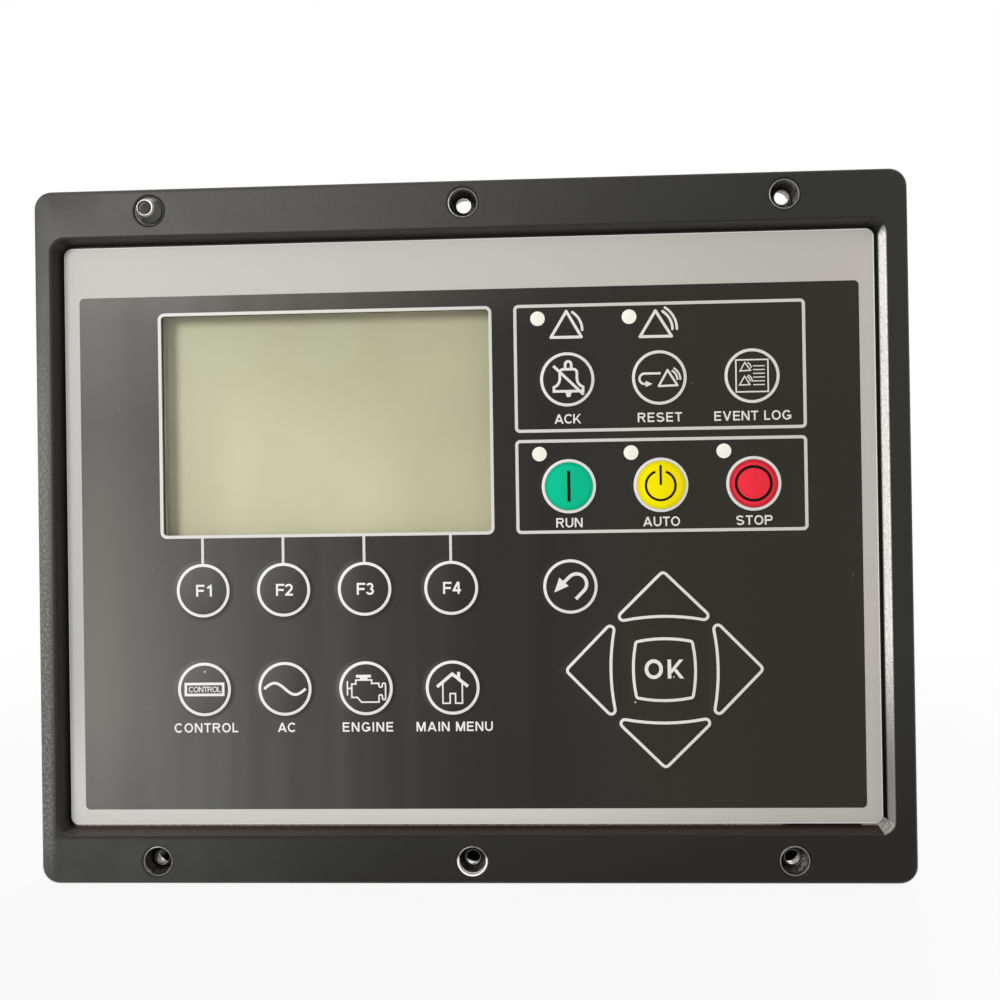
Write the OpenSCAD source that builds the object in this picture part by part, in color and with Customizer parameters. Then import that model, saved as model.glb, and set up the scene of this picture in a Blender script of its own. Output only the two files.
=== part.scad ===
// Control panel for a generator engine: a moulded frame with a recessed membrane keypad and a
// display in front, and a box with two circuit boards and the wiring headers behind.
// X runs to the reader's right, Z up, and the panel faces -Y. Y = 0 is the flange's rear
// seating face, and X = Z = 0 is the centre of the mounting holes.

/* [Frame] */
// Width of the moulded frame
frame_w = 304; // [300:1:320]
// Height of the moulded frame
frame_h = 244; // [241:1:260]
// Thickness of the frame's flange
frame_t = 12; // [11:0.5:14]
// Radius of the frame's corners
frame_r = 6; // [4:0.5:8]
// Chamfer of the frame's front edge
frame_edge = 1.2; // [0.5:0.1:2]
// Height of the pad behind the flange that enters the cabinet's cut-out
pad_h = 2; // [1.5:0.5:4]
// Depth of the overlay's face below the flange's face
recess_depth = 6; // [4:0.5:6.5]
// Gap between the overlay's edge and the foot of the recess wall
recess_gap = 1; // [0.5:0.1:1.2]
// How far the recess wall leans outward over its depth
recess_draft = 1; // [0.5:0.1:1.5]

/* [Overlay] */
// Width of the printed film
overlay_w = 286; // [280:1:288]
// Height of the printed film
overlay_h = 206; // [200:1:208]
// Radius of the film's corners
overlay_r = 2.8; // [1.5:0.1:4]
// Thickness of the film
overlay_t = 0.5; // [0.3:0.1:0.6]
// Sideways place of the film's centre
overlay_x = -0.85; // [-1.5:0.05:1]
// Grey border of the film at the left, right and bottom
border_w = 5.4; // [4:0.1:6]
// Grey border of the film at the top
border_top = 17.9; // [12:0.1:18]
// Thickness of the printed black field
field_t = 0.1; // [0.1:0.05:0.2]
// Height of the raised white lines above the black field
line_h = 0.15; // [0.1:0.05:0.3]
// Width of the white frame lines
line_w = 1.1; // [0.7:0.1:1.4]

/* [Display] */
// Sideways place of the display's centre from the film's centre
display_x = -49.6; // [-52:0.1:-48]
// Height of the display's centre above the film's centre
display_z = 38.9; // [36:0.1:39.5]
// Visible width of the display
display_w = 117; // [105:1:118]
// Visible height of the display
display_h = 78.2; // [70:0.2:79]
// Space between the keypad film and the display's cell
display_sink = 6.6; // [5.5:0.1:8]

/* [Keys] */
// Outside diameter of a round key
key_d = 19; // [16:0.5:21]
// Width of a key's white outline
key_line = 1; // [0.6:0.1:1.4]
// Distance from the display's centre to the first column of keys
soft_x = 44.5; // [42:0.1:46]
// Pitch of the first three columns of keys
soft_pitch = 28.9; // [26:0.1:30]
// Distance from the third to the fourth column
last_pitch = 30.7; // [28:0.1:32]
// Height of the soft keys' row
soft_z = -19.9; // [-22:0.1:-18]
// Height of the menu keys' row
menu_z = -55; // [-60:0.5:-50]
// Sideways place of the two key groups
group_x = 68.4; // [66:0.1:70]
// Width of the two group frames
group_w = 101.4; // [96:0.2:106]
// Height of the alarm group's centre
alarm_z = 56.7; // [56:0.1:58]
// Height of the alarm group's frame
alarm_h = 45; // [40:0.5:46]
// Height of the mode group's centre
mode_z = 15.2; // [14:0.1:16]
// Height of the mode group's frame
mode_h = 33; // [30:0.5:35]
// Pitch of the three columns of keys in the groups
group_pitch = 32.1; // [30:0.1:34]
// Centre of the arrow keys
nav_z = -49.3; // [-52:0.1:-48]
// Distance from the middle of the arrow keys to the rounding at an arrow's tip
nav_tip = 32.4; // [30:0.1:34]
// Distance from the middle of the arrow keys to the roundings at an arrow's foot
nav_foot = 18.7; // [17:0.1:20]
// Half the distance between the roundings at an arrow's foot
nav_half = 14; // [12:0.1:14.5]
// Half width of the centre key
ok_half = 11.3; // [10:0.1:12]
// Diameter of the lamp windows
lamp_d = 5.1; // [4:0.1:6]
// Sideways distance from a key column to its lamp
lamp_x = 10.2; // [9:0.1:12]

/* [Mounting holes] */
// Sideways distance between neighbouring mounting holes
hole_x = 110.5; // [106:0.5:114]
// Vertical distance between the two rows of mounting holes
hole_z = 228.4; // [226.4:0.2:229.4]
// Outside diameter of the sleeves
sleeve_d = 10.8; // [10:0.1:11]
// Inside diameter of the sleeves
sleeve_bore = 9.4; // [9:0.1:9.5]
// Thickness of a sleeve's rear end, which carries the bush
sleeve_end = 1; // [0.8:0.1:1.5]
// Outside diameter of a bush's tip
bush_tip = 6; // [5.6:0.1:7]
// Bore of the bushes and sleeve ends for the mounting screws
screw_bore = 4.8; // [4.2:0.1:5.2]
// Length of a bush
bush_l = 6.2; // [5.4:0.1:7]
// Length of a bush's taper
bush_taper = 3.9; // [3:0.1:4]
// How far the upper left bush stands out of the flange
bush_proud = 3.9; // [2:0.1:4]

/* [Rear] */
// Width of the rear housing's box
housing_w = 262; // [250:1:266]
// Height of the rear housing's box
housing_h = 182; // [178:1:184]
// Wall of the rear housing
housing_wall = 3; // [2.5:0.1:3]
// Depth of the rear housing behind the seating face
housing_depth = 40; // [38:1:50]
// Distance from the pad to the front board
board_gap = 10; // [9.5:0.5:12]
// Thickness of the circuit boards
board_t = 1.6; // [1.2:0.1:2]
// Length of the wiring headers behind the housing
header_l = 10; // [8:0.5:14]
// Width of the main wiring header
main_header_w = 100; // [90:1:104]
// Width of the second wiring header
aux_header_w = 60; // [50:1:62]
// Gap between the headers, and between them and the earth stud
header_gap = 16; // [14:1:20]
// Height of the wiring headers
header_h = 30; // [26:1:32]

/* [Hidden] */
$fn = 48;
eps = 0.01;
slip = 0.05;
clear = 0.3;

// Depths along Y, from the flange's face to the rear
y_face = -frame_t;
y_overlay = y_face + recess_depth;
y_film = y_overlay + overlay_t;
spacer_t = 0.5;
circuit_t = 0.5;
y_spacer = y_film + spacer_t;
y_floor = y_spacer + circuit_t;
lens_t = 1.5;
y_lens = y_film + lens_t;
y_pad = pad_h;
y_print = y_overlay - field_t;
y_line = y_print - line_h;
y_board = y_pad + board_gap;
seal_t = 1;
y_lip = y_pad + seal_t;
lip_t = 4;
y_back = housing_depth;
y_inside = y_back - housing_wall;
y_main = y_inside - 10;
y_header = y_back + header_l;

// Outlines behind the flange
lip_over = 8;
seat_w = 11;
pad_margin = 13.2;
pad_w = frame_w - 2 * seat_w;
pad_z = hole_z - 2 * pad_margin;
pad_r = 6;
lip_w = housing_w + 2 * lip_over;
lip_z = housing_h + 2 * lip_over;
lip_r = 5;
housing_r = 6;
board_w = housing_w - 2 * housing_wall - 6;
board_h = housing_h - 2 * housing_wall - 6;
lens_lap = 3;
lens_w = display_w + 2 * lens_lap;
lens_h = display_h + 2 * lens_lap;
gasket_in = 0.15;
gasket_wall = 1.4;
gasket_w = display_w + 2 * (gasket_in + gasket_wall);
gasket_h = display_h + 2 * (gasket_in + gasket_wall);
window_w = gasket_w + 2 * clear;
window_h = gasket_h + 2 * clear;
cell_lap = 3.5;
cell_w = display_w + 2 * cell_lap;
cell_h = display_h + 2 * cell_lap;
can_wall = 0.8;
can_w = cell_w + 2 * can_wall + 2 * slip;
can_h = cell_h + 2 * can_wall + 2 * slip;
can_gap = 5.65;
housing_z = display_z + can_h / 2 + can_gap + housing_wall - housing_h / 2;
y_cell = y_overlay + display_sink;
can_rim = 0.6;
y_can = y_cell - can_rim;
cell_t = 2.2;
y_light = y_cell + cell_t;

// Places on the film, from the film's centre
field_w = overlay_w - 2 * border_w;
field_h = overlay_h - border_w - border_top;
field_z = (border_w - border_top) / 2;
corner_r = 1.8;
col_1 = display_x - soft_x;
SOFT_X = [col_1, col_1 + soft_pitch, col_1 + 2 * soft_pitch, col_1 + 2 * soft_pitch + last_pitch];
GROUP_X = [group_x - group_pitch, group_x, group_x + group_pitch];
ack_z = alarm_z - 4;
alarm_lamp_z = alarm_z + 17.5;
mode_lamp_z = mode_z + 11.4;
nav_x = group_x + 0.2;
back_x = GROUP_X[0];
RING_KEYS = concat(
    [for (x = SOFT_X) [x, soft_z]],
    [for (x = SOFT_X) [x, menu_z]],
    [for (x = GROUP_X) [x, ack_z]],
    [for (x = GROUP_X) [x, mode_z]],
    [[back_x, soft_z]]
);
arrow_mid = (nav_tip + 2 * nav_foot) / 3;
ARROW_TURNS = [0, 90, 180, 270];
DOMES = concat(
    RING_KEYS,
    [[nav_x, nav_z]],
    [for (a = ARROW_TURNS) [nav_x - arrow_mid * sin(a), nav_z + arrow_mid * cos(a)]]
);
LAMPS = [
    [GROUP_X[0] - lamp_x, alarm_lamp_z],
    [GROUP_X[1] - lamp_x, alarm_lamp_z],
    [GROUP_X[0] - lamp_x, mode_lamp_z],
    [GROUP_X[1] - lamp_x, mode_lamp_z],
    [GROUP_X[2] - lamp_x, mode_lamp_z]
];
dome_d = 12;
dome_h = 0.45;
dome_t = 0.15;
face_d = key_d - 2 * key_line - 0.2;

// Places of the mounting holes, screws and boards
HOLES = [for (x = [-hole_x, 0, hole_x], z = [-hole_z / 2, hole_z / 2]) [x, z]];
PROUD_HOLE = [-hole_x, hole_z / 2];
bush_wall = 1.3;
bush_land = 2.4;
SEAT_X = [-0.38, -0.13, 0.13, 0.38] * lip_w;
SEAT_Z = [-0.34, 0, 0.34] * lip_z;
lip_mid = lip_over / 2;
LIP_SCREWS = concat(
    [for (x = SEAT_X, s = [-1, 1]) [x, housing_z + s * (housing_h / 2 + lip_mid)]],
    [for (z = SEAT_Z, s = [-1, 1]) [s * (housing_w / 2 + lip_mid), housing_z + z]]
);
post_d = 7;
post_edge = 5;
post_x = board_w / 2 - post_edge;
foot_z = housing_z - board_h / 2 + post_edge;
head_z = housing_z + board_h / 2 - post_edge;
low_z = display_z - can_h / 2 - post_d;
POSTS = [[-post_x, foot_z], [0, foot_z], [post_x, foot_z], [-post_x, low_z], [post_x, low_z],
         [post_x, head_z]];
MAIN_POSTS = [for (x = [-post_x, 0, post_x], z = [foot_z, head_z]) [x, z]];
m3_hole = 2.6;
m3_shank = m3_hole - 2 * slip;
m3_pass = 3.4;
m3_head = 5.6;
m3_head_l = 2;
m3_grip = 6;
m4_hole = 3.4;
m4_shank = m4_hole - 2 * slip;
m4_pass = 4.4;
m4_head = 7;
m4_head_l = 2.6;
m4_key = 3.2;
m4_key_depth = 1.4;
tail_w = 20;
tail_x = back_x - tail_w;
tail_rise = 9;
tail_z = nav_z - nav_tip + tail_rise;
tail_t = 0.5;
socket_h = 4;
pipe_d = lamp_d;
lamp_h = 1;
earth_d = 6;
nut_w = 11;
nut_h = 4.8;
header_z = housing_z - housing_h / 4;
header_row = main_header_w + aux_header_w + nut_w + 2 * header_gap;
main_x = (main_header_w - header_row) / 2;
aux_x = main_x + main_header_w / 2 + header_gap + aux_header_w / 2;
earth_x = (header_row - nut_w) / 2;
header_wall = 2;
header_lap = 3;
service_x = earth_x;
service_drop = 30;
service_z = housing_z + housing_h / 2 - service_drop;
service_d = 16;
service_rim = 5;
service_wall = 2;
socket_l = 10;
breather_z = (service_z + header_z) / 2;
breather_d = 12;
breather_neck = 7.2;
rib_first = 22;
rib_pitch = 19;
rib_w = 2.4;
rib_l = 2.5;
rib_h = housing_h / 2 - 24;
boss_d = 9;
jack_d = 5;
jack_bore = 3;
cavity_floor = 1;
chip_w = 28;
memory_w = 20;
memory_h = 14;
part_gap = 14;
can_d = 12.5;
link_w = 44;
link_d = 8;
battery_d = 20;
battery_t = 4.5;

// Helpers
module round_rect(w, h, r) {
    square([w - 2 * r, h], center = true);
    square([w, h - 2 * r], center = true);
    for (x = [-1, 1], z = [-1, 1])
        translate([x * (w / 2 - r), z * (h / 2 - r)]) circle(r = r, $fn = 32);
}

module frame_line(w, h, r, t) {
    difference() {
        round_rect(w, h, r);
        round_rect(w - 2 * t, h - 2 * t, max(r - t, 0.3));
    }
}

// A flat outline in X and Z, from depth y0 back to depth y1
module slab(y0, y1) {
    translate([0, y1, 0]) rotate([90, 0, 0]) linear_extrude(y1 - y0) children();
}

// The same, counted from the film's centre
module on_film(y0, y1) {
    translate([overlay_x, 0, 0]) slab(y0, y1) children();
}

// A round bar along Y
module bar(d, y0, y1, n = 48) {
    translate([0, y1, 0]) rotate([90, 0, 0]) cylinder(d = d, h = y1 - y0, $fn = n);
}

// A cone along Y, d0 wide at y0 and d1 wide at y1
module cone(d0, d1, y0, y1) {
    translate([0, y1, 0]) rotate([90, 0, 0]) cylinder(d1 = d1, d2 = d0, h = y1 - y0);
}

module at(p) {
    translate([p.x, 0, p.y]) children();
}

module at_film(p) {
    translate([overlay_x + p.x, 0, p.y]) children();
}

// Points of an arc round c
function arc(c, r, a0, a1, n = 8) =
    [for (i = [0:n]) let (a = a0 + (a1 - a0) * i / n) c + r * [cos(a), sin(a)]];

function flip(p) = [for (i = [len(p) - 1:-1:0]) p[i]];

// Left-hand normal of a line's piece, and both sides of a drawn line with mitred corners
function normal(p, i) =
    let (d = p[i + 1] - p[i]) [-d.y, d.x] / norm(d);

function side(p, d) =
    let (last = len(p) - 1)
    [for (i = [0:last])
        let (a = normal(p, max(i - 1, 0)), b = normal(p, min(i, last - 1)))
        p[i] + d * (a + b) / (1 + a * b)];

module stroke(p, w) {
    polygon(concat(side(p, w / 2), flip(side(p, -w / 2))));
}

module closed_stroke(p, w) {
    n = len(p);
    ring = concat([(p[n - 1] + p[0]) / 2], p, [(p[n - 1] + p[0]) / 2]);
    stroke(ring, w);
}

// Frame and housing
module pattern(places) {
    for (p = places) at(p) children();
}

module frame_body() {
    hull() {
        slab(y_face + frame_edge, 0) round_rect(frame_w, frame_h, frame_r);
        slab(y_face + frame_edge / 3, 0)
            round_rect(frame_w - frame_edge, frame_h - frame_edge, frame_r - frame_edge / 2);
        slab(y_face, 0)
            round_rect(frame_w - 2 * frame_edge, frame_h - 2 * frame_edge, frame_r - frame_edge);
    }
    slab(-eps, y_pad) round_rect(pad_w, pad_z, pad_r);
    pattern(POSTS) bar(post_d, y_pad - eps, y_board);
}

foot_w = overlay_w + 2 * recess_gap;
foot_h = overlay_h + 2 * recess_gap;
foot_r = overlay_r + recess_gap;
rim_w = foot_w + 2 * recess_draft;
rim_h = foot_h + 2 * recess_draft;
rim_r = foot_r + recess_draft;
rim_edge = 0.7;

module recess_cut() {
    translate([overlay_x, 0, 0]) hull() {
        slab(y_floor - eps, y_floor) round_rect(foot_w, foot_h, foot_r);
        slab(y_face + rim_edge, y_face + rim_edge + eps) round_rect(rim_w, rim_h, rim_r);
    }
    translate([overlay_x, 0, 0]) hull() {
        slab(y_face + rim_edge, y_face + rim_edge + eps) round_rect(rim_w, rim_h, rim_r);
        slab(y_face - 1, y_face)
            round_rect(rim_w + 2 * rim_edge, rim_h + 2 * rim_edge, rim_r + rim_edge);
    }
}

core_wall = 3.5;
core_end = sleeve_d / 2 + core_wall;
core_l = hole_x - 2 * core_end;
core_h = frame_h - hole_z - 2 * core_wall;

// Weight-saving pockets between the mounting holes, open to the rear
module core_cuts() {
    for (x = [-1, 1], z = [-1, 1])
        translate([x * hole_x / 2, 0, z * hole_z / 2])
            slab(y_face + core_wall, 1) round_rect(core_l, core_h, 2);
}

groove_w = 2.6;
groove_d = 1;

module groove(w0, y0, y1) {
    slab(y0, y1) difference() {
        round_rect(pad_w + 2 * clear + 2 * w0, pad_z + 2 * clear + 2 * w0, pad_r + w0);
        round_rect(pad_w + 2 * clear, pad_z + 2 * clear, pad_r);
    }
}

module front_bezel() {
    color([0.1, 0.1, 0.1]) difference() {
        frame_body();
        recess_cut();
        core_cuts();
        groove(groove_w, -groove_d, 1);
        on_film(y_floor - 1, y_lens) translate([display_x, display_z])
            round_rect(lens_w + 2 * clear, lens_h + 2 * clear, 2);
        on_film(y_floor - 1, y_pad + 1) translate([display_x, display_z])
            round_rect(window_w, window_h, 1.5);
        on_film(y_can, y_pad + 1) translate([display_x, display_z])
            square([can_w + 2 * clear, can_h + 2 * clear], center = true);
        for (p = LAMPS) at_film(p) bar(pipe_d + 2 * clear, y_floor - 1, y_pad + 1);
        translate([tail_x, 0, tail_z]) slab(y_floor - 1, y_pad + 1)
            square([tail_w + 4 * clear, tail_t + 4 * clear], center = true);
        pattern(HOLES) bar(sleeve_d, y_face - 1, 1);
        pattern(HOLES) cone(sleeve_d + 1, sleeve_d, y_face - eps, y_face + 0.5);
        pattern(POSTS) bar(m3_hole, y_board - m3_grip - 1, y_board + 1);
        pattern(LIP_SCREWS) bar(m4_hole, y_floor + 1, y_pad + 1);
    }
}

module housing_box() {
    translate([0, 0, housing_z]) {
        slab(y_lip, y_back) round_rect(housing_w, housing_h, housing_r);
        slab(y_lip, y_lip + lip_t) round_rect(lip_w, lip_z, lip_r);
    }
    // Stiffening ribs on the upper half of the back
    for (i = [0:9])
        translate([-housing_w / 2 + rib_first + i * rib_pitch, 0, service_z - 4])
            slab(y_back - eps, y_back + rib_l) round_rect(rib_w, rib_h, rib_w / 2 - 0.1);
}

module housing_inside() {
    translate([0, 0, housing_z]) slab(y_lip - 1, y_inside)
        round_rect(housing_w - 2 * housing_wall, housing_h - 2 * housing_wall, housing_r - 2);
}

module rear_housing() {
    color([0.13, 0.13, 0.13]) difference() {
        union() {
            difference() {
                housing_box();
                housing_inside();
            }
            pattern(MAIN_POSTS) bar(post_d, y_main + board_t, y_inside + eps);
        }
        pattern(LIP_SCREWS) bar(m4_pass, y_lip - 1, y_lip + lip_t + 1);
        pattern(MAIN_POSTS) bar(m3_hole, y_main, y_inside - 1);
        for (h = [[main_x, main_header_w], [aux_x, aux_header_w]])
            translate([h.x, 0, header_z]) slab(y_inside - 1, y_back + 4)
                round_rect(h.y + 2 * clear, header_h + 2 * clear, 3);
        translate([service_x, 0, service_z]) bar(service_d + 2 * clear, y_inside - 1, y_back + 1);
        translate([service_x, 0, breather_z]) bar(breather_neck, y_inside - 1, y_back + 1);
        translate([earth_x, 0, header_z]) bar(earth_d + 2 * slip, y_inside - 1, y_back + 1);
    }
}

module housing_screws() {
    y_seat = y_lip + lip_t;
    y_head = y_seat + m4_head_l;
    color("silver") pattern(LIP_SCREWS) {
        difference() {
            bar(m4_head, y_seat, y_head);
            slab(y_head - m4_key_depth, y_head + 1) circle(d = m4_key, $fn = 6);
        }
        bar(m4_shank, y_floor + 1.2, y_seat + eps, 24);
    }
}

module housing_seal() {
    color([0.2, 0.2, 0.2]) difference() {
        translate([0, 0, housing_z]) slab(y_pad, y_lip)
            frame_line(lip_w, lip_z, lip_r, lip_over + 1);
        pattern(LIP_SCREWS) bar(m4_pass, y_pad - 1, y_lip + 1, 24);
    }
}

module panel_seal() {
    color([0.17, 0.17, 0.17]) groove(groove_w - clear, -groove_d, 0.6);
}

// Mounting sleeves and bushes
module mounting_sleeves() {
    color([0.62, 0.62, 0.6]) pattern(HOLES) difference() {
        bar(sleeve_d, y_face + 0.5, 0);
        bar(sleeve_bore, y_face, -sleeve_end);
        bar(screw_bore, y_face, 1);
        cone(sleeve_bore + 0.6, sleeve_bore, y_face + 0.5 - eps, y_face + 0.8);
    }
}

module bush(y_tip) {
    rotate([90, 0, 0]) translate([0, 0, -y_tip]) rotate_extrude() polygon([
        [screw_bore / 2, 0],
        [bush_tip / 2, 0],
        [sleeve_bore / 2 - slip, -bush_taper],
        [sleeve_bore / 2 - slip, -bush_l],
        [sleeve_bore / 2 - bush_wall, -bush_l],
        [sleeve_bore / 2 - bush_wall, -bush_l + 1],
        [screw_bore / 2, -bush_land]
    ]);
}

module mounting_bushes() {
    color([0.78, 0.77, 0.75]) for (p = HOLES)
        at(p) bush(p == PROUD_HOLE ? y_face - bush_proud : -sleeve_end - bush_l);
}

// Printed film
module overlay_film() {
    color([0.78, 0.77, 0.75]) on_film(y_overlay, y_film) difference() {
        round_rect(overlay_w, overlay_h, overlay_r);
        translate([display_x, display_z]) round_rect(display_w, display_h, 1.2);
    }
}

module field_print() {
    color([0.16, 0.16, 0.15]) on_film(y_print, y_overlay) difference() {
        translate([0, field_z]) round_rect(field_w, field_h, 1.6);
        translate([display_x, display_z]) round_rect(display_w, display_h, 1.2);
    }
}

module panel_lines() {
    color([0.86, 0.85, 0.83]) on_film(y_line, y_print) {
        translate([display_x, display_z])
            frame_line(display_w + 2 * line_w, display_h + 2 * line_w, 2.4, line_w);
        translate([group_x, alarm_z]) frame_line(group_w, alarm_h, corner_r, line_w);
        translate([group_x, mode_z]) frame_line(group_w, mode_h, corner_r, line_w);
        for (x = SOFT_X) stem(x);
    }
}

module stem(x) {
    top = display_z - display_h / 2 - line_w / 2;
    foot = soft_z + key_d / 2;
    translate([x, (top + foot) / 2]) square([0.95, top - foot], center = true);
}

// Outline of the arrow key that points up, drawn inward by t from its outer edge
arrow_r = 1.9;
arrow_rise = 0.6;
arrow_e = arrow_r - arrow_rise;
arrow_d = (nav_half * nav_half - arrow_e * arrow_e) / (2 * arrow_e);
arrow_base_r = arrow_d - arrow_rise;
arrow_base_z = nav_foot - arrow_d;
arrow_lean = atan2(nav_half, nav_tip - nav_foot);
arrow_foot_a = atan2(nav_half, arrow_d);

function arrow_edge(t) = concat(
    arc([nav_half, nav_foot], arrow_r - t, -90 - arrow_foot_a, 90 - arrow_lean, 6),
    arc([0, nav_tip], arrow_r - t, 90 - arrow_lean, 90 + arrow_lean, 4),
    arc([-nav_half, nav_foot], arrow_r - t, 90 + arrow_lean, 270 + arrow_foot_a, 6),
    arc([0, arrow_base_z], arrow_base_r + t, 90 + arrow_foot_a, 90 - arrow_foot_a, 8)
);

// Outline of the centre key, a square with bulged sides
ok_r = 1.4;
ok_corner = ok_half - 2.3;
ok_side_r = (ok_corner * ok_corner + pow(2.3, 2) - ok_r * ok_r) / (2 * (2.3 - ok_r));
ok_a = atan2(ok_corner, ok_corner - ok_half + ok_side_r);

function spin(p, a) = [for (q = p) [q.x * cos(a) - q.y * sin(a), q.x * sin(a) + q.y * cos(a)]];

function ok_quarter(t) = concat(
    arc([ok_half - ok_side_r, 0], ok_side_r - t, -ok_a, ok_a, 6),
    arc([ok_corner, ok_corner], ok_r - t, ok_a, 90 - ok_a, 3)
);

function ok_edge(t) = [for (a = ARROW_TURNS) each spin(ok_quarter(t), a)];

module key_rings() {
    color([0.86, 0.85, 0.83]) {
        for (p = RING_KEYS) at_film(p) difference() {
            bar(key_d, y_line, y_print);
            bar(key_d - 2 * key_line, y_line - 1, y_print + 1);
        }
        at_film([nav_x, nav_z]) slab(y_line, y_print) difference() {
            polygon(ok_edge(0));
            polygon(ok_edge(key_line));
        }
        for (a = ARROW_TURNS)
            at_film([nav_x, nav_z]) slab(y_line, y_print) rotate(a) difference() {
                polygon(arrow_edge(0));
                polygon(arrow_edge(key_line));
            }
    }
}

// Symbols, each drawn round its key's centre
module alarm_sign(s, waves, t) {
    closed_stroke([[0, 4.6] * s, [-5.4, -4.5] * s, [5.4, -4.5] * s], t);
    for (i = [0:waves - 1])
        stroke(arc([-1.7, -2] * s, (7.6 + 1.6 * i) * s, 2, 54, 6), t);
}

module bell_sign() {
    t = 0.95;
    translate([0.35, 0]) {
        stroke(concat(arc([0, 5.2], 1.05, 0, 180, 8), [[-1.05, 3.6]]), t);
        stroke([[1.05, 5.25], [1.05, 3.6]], t);
        stroke(concat(
            [[-5, -4.2], [-5, -2.9]], arc([-4.8, -0.9], 2, -80, 0, 4),
            arc([-1.6, 2.3], 1.3, 180, 90, 4), arc([1.6, 2.3], 1.3, 90, 0, 4),
            arc([4.8, -0.9], 2, 180, 260, 4), [[5, -2.9], [5, -4.2]]), t);
        stroke([[-5.45, -4.2], [5.45, -4.2]], t);
        polygon([[-1.1, -4.5], [1.1, -4.5], [0.55, -6.2], [-0.55, -6.2]]);
    }
    stroke([[-5.3, 4.9], [5.3, -5.4]], t);
}

module reset_sign() {
    stroke(concat([[0.5, 1.5]], arc([-5.3, -0.35], 1.85, 90, 270, 8), [[-4.6, -2.2]]), 0.8);
    polygon([[-4.8, -1.1], [-2.3, -2.2], [-4.8, -3.3]]);
    translate([3, -0.3]) alarm_sign(0.62, 2, 0.75);
}

module log_sign() {
    closed_stroke([[-5.5, 5.6], [-5.5, -5.6], [5.5, -5.6], [5.5, 5.6]], 0.53);
    translate([-2.3, 3.2]) alarm_sign(0.33, 1, 0.45);
    translate([-2.5, -1.6]) alarm_sign(0.33, 2, 0.4);
    for (i = [0:5]) translate([2.3, 3.4 - 1.31 * i]) square([4.1, 0.5], center = true);
}

module control_sign() {
    frame_line(14.4, 4.9, 0.3, 0.9);
}

module wave_sign() {
    stroke([for (i = [-12:12]) [i * 0.52, -2.4 * sin(i * 15)]], 0.95);
}

module engine_sign() {
    t = 0.6;
    r = 0.62;
    closed_stroke(concat(
        [[-3.6, 2.9], [-3.6, 1.5], [-5, 1.5], [-5, -3.2], [-3.1, -3.2], [-1.6, -4.9],
         [4.6, -4.9]],
        arc([4.6 + r, -2.7], r, 180, 0, 4), arc([4.6 + 3 * r, -3.6], r, 180, 360, 4),
        arc([4.6 + 3 * r, 1.3], r, 0, 180, 4), arc([4.6 + r, 0.7], r, 360, 180, 4),
        [[4.6, 1.7], [2.1, 1.7], [2.1, 2.9]]), t);
    polygon([[-2.1, 2.9], [0.6, 2.9], [0.6, 3.7], [1.9, 3.7], [1.9, 4.75], [-3.5, 4.75],
             [-3.5, 3.7], [-2.1, 3.7]]);
    stroke([[-6.6, 2.6], [-6.6, -2.5]], 0.65);
    stroke([[-6.6, 0.05], [-5, 0.05]], 0.55);
}

module home_sign() {
    stroke([[-5.4, 0.35], [0, 4.75], [5.4, 0.35]], 1.15);
    stroke([[2.15, 5.5], [2.15, 2.6]], 1.05);
    closed_stroke([[-3.4, 1.9], [-3.4, -5.5], [-0.95, -5.5], [-0.95, -2.1], [0.95, -2.1],
                   [0.95, -5.5], [3.4, -5.5], [3.4, 1.9], [0, 4.6]], 0.6);
}

module back_sign() {
    stroke(concat([[1.85, -4.25]], arc([2.2, 0.9], 3.5, -45, 130, 10), [[-2.4, 1.4]]), 1.17);
    polygon([[-5.7, -2.1], [-3.85, 3.15], [-0.6, 0.1]]);
}

module key_symbols() {
    color([0.86, 0.85, 0.83]) {
        print_at([GROUP_X[0], alarm_lamp_z - 2]) alarm_sign(1, 1, 1.05);
        print_at([GROUP_X[1] - 0.7, alarm_lamp_z - 2]) alarm_sign(1, 2, 1.05);
        print_at([GROUP_X[0], ack_z]) bell_sign();
        print_at([GROUP_X[1], ack_z]) reset_sign();
        print_at([GROUP_X[2], ack_z]) log_sign();
        print_at([SOFT_X[0], menu_z]) control_sign();
        print_at([SOFT_X[1], menu_z]) wave_sign();
        print_at([SOFT_X[2], menu_z]) engine_sign();
        print_at([SOFT_X[3], menu_z]) home_sign();
        print_at([back_x, soft_z]) back_sign();
    }
}

module print_at(p) {
    at_film(p) slab(y_line, y_print) children();
}

module key_face(i) {
    at_film([GROUP_X[i], mode_z]) bar(face_d, y_print - 0.08, y_print);
}

module run_key() {
    color([0, 0.65, 0.52]) key_face(0);
}

module auto_key() {
    color([0.98, 0.87, 0.02]) key_face(1);
}

module stop_key() {
    color([0.85, 0.13, 0.2]) key_face(2);
}

module key_marks() {
    color([0.05, 0.05, 0.05]) {
        mark_at(0) square([1.1, 10.8], center = true);
        mark_at(1) translate([0, -0.4]) {
            stroke(arc([0, 0], 5.1, 109, 431, 24), 0.65);
            translate([0, 3.7]) square([0.65, 6.8], center = true);
        }
        mark_at(2) difference() {
            circle(r = 6.1);
            circle(r = 5.2);
        }
    }
}

module mark_at(i) {
    at_film([GROUP_X[i], mode_z]) slab(y_line, y_print - 0.08) children();
}

module lamp_windows() {
    color([0.92, 0.9, 0.84]) for (p = LAMPS) at_film(p) bar(lamp_d, y_line, y_print);
}

// Keypad layers behind the film
module keypad_layer(y0, y1) {
    on_film(y0, y1) difference() {
        round_rect(overlay_w, overlay_h, overlay_r);
        translate([display_x, display_z]) round_rect(lens_w + 2 * clear, lens_h + 2 * clear, 2);
        for (p = LAMPS) translate(p) circle(d = pipe_d + 2 * clear);
        children();
    }
}

module dome_spacer() {
    color([0.9, 0.9, 0.88]) keypad_layer(y_film, y_spacer)
        for (p = DOMES) translate(p) circle(d = dome_d + 1);
}

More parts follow.
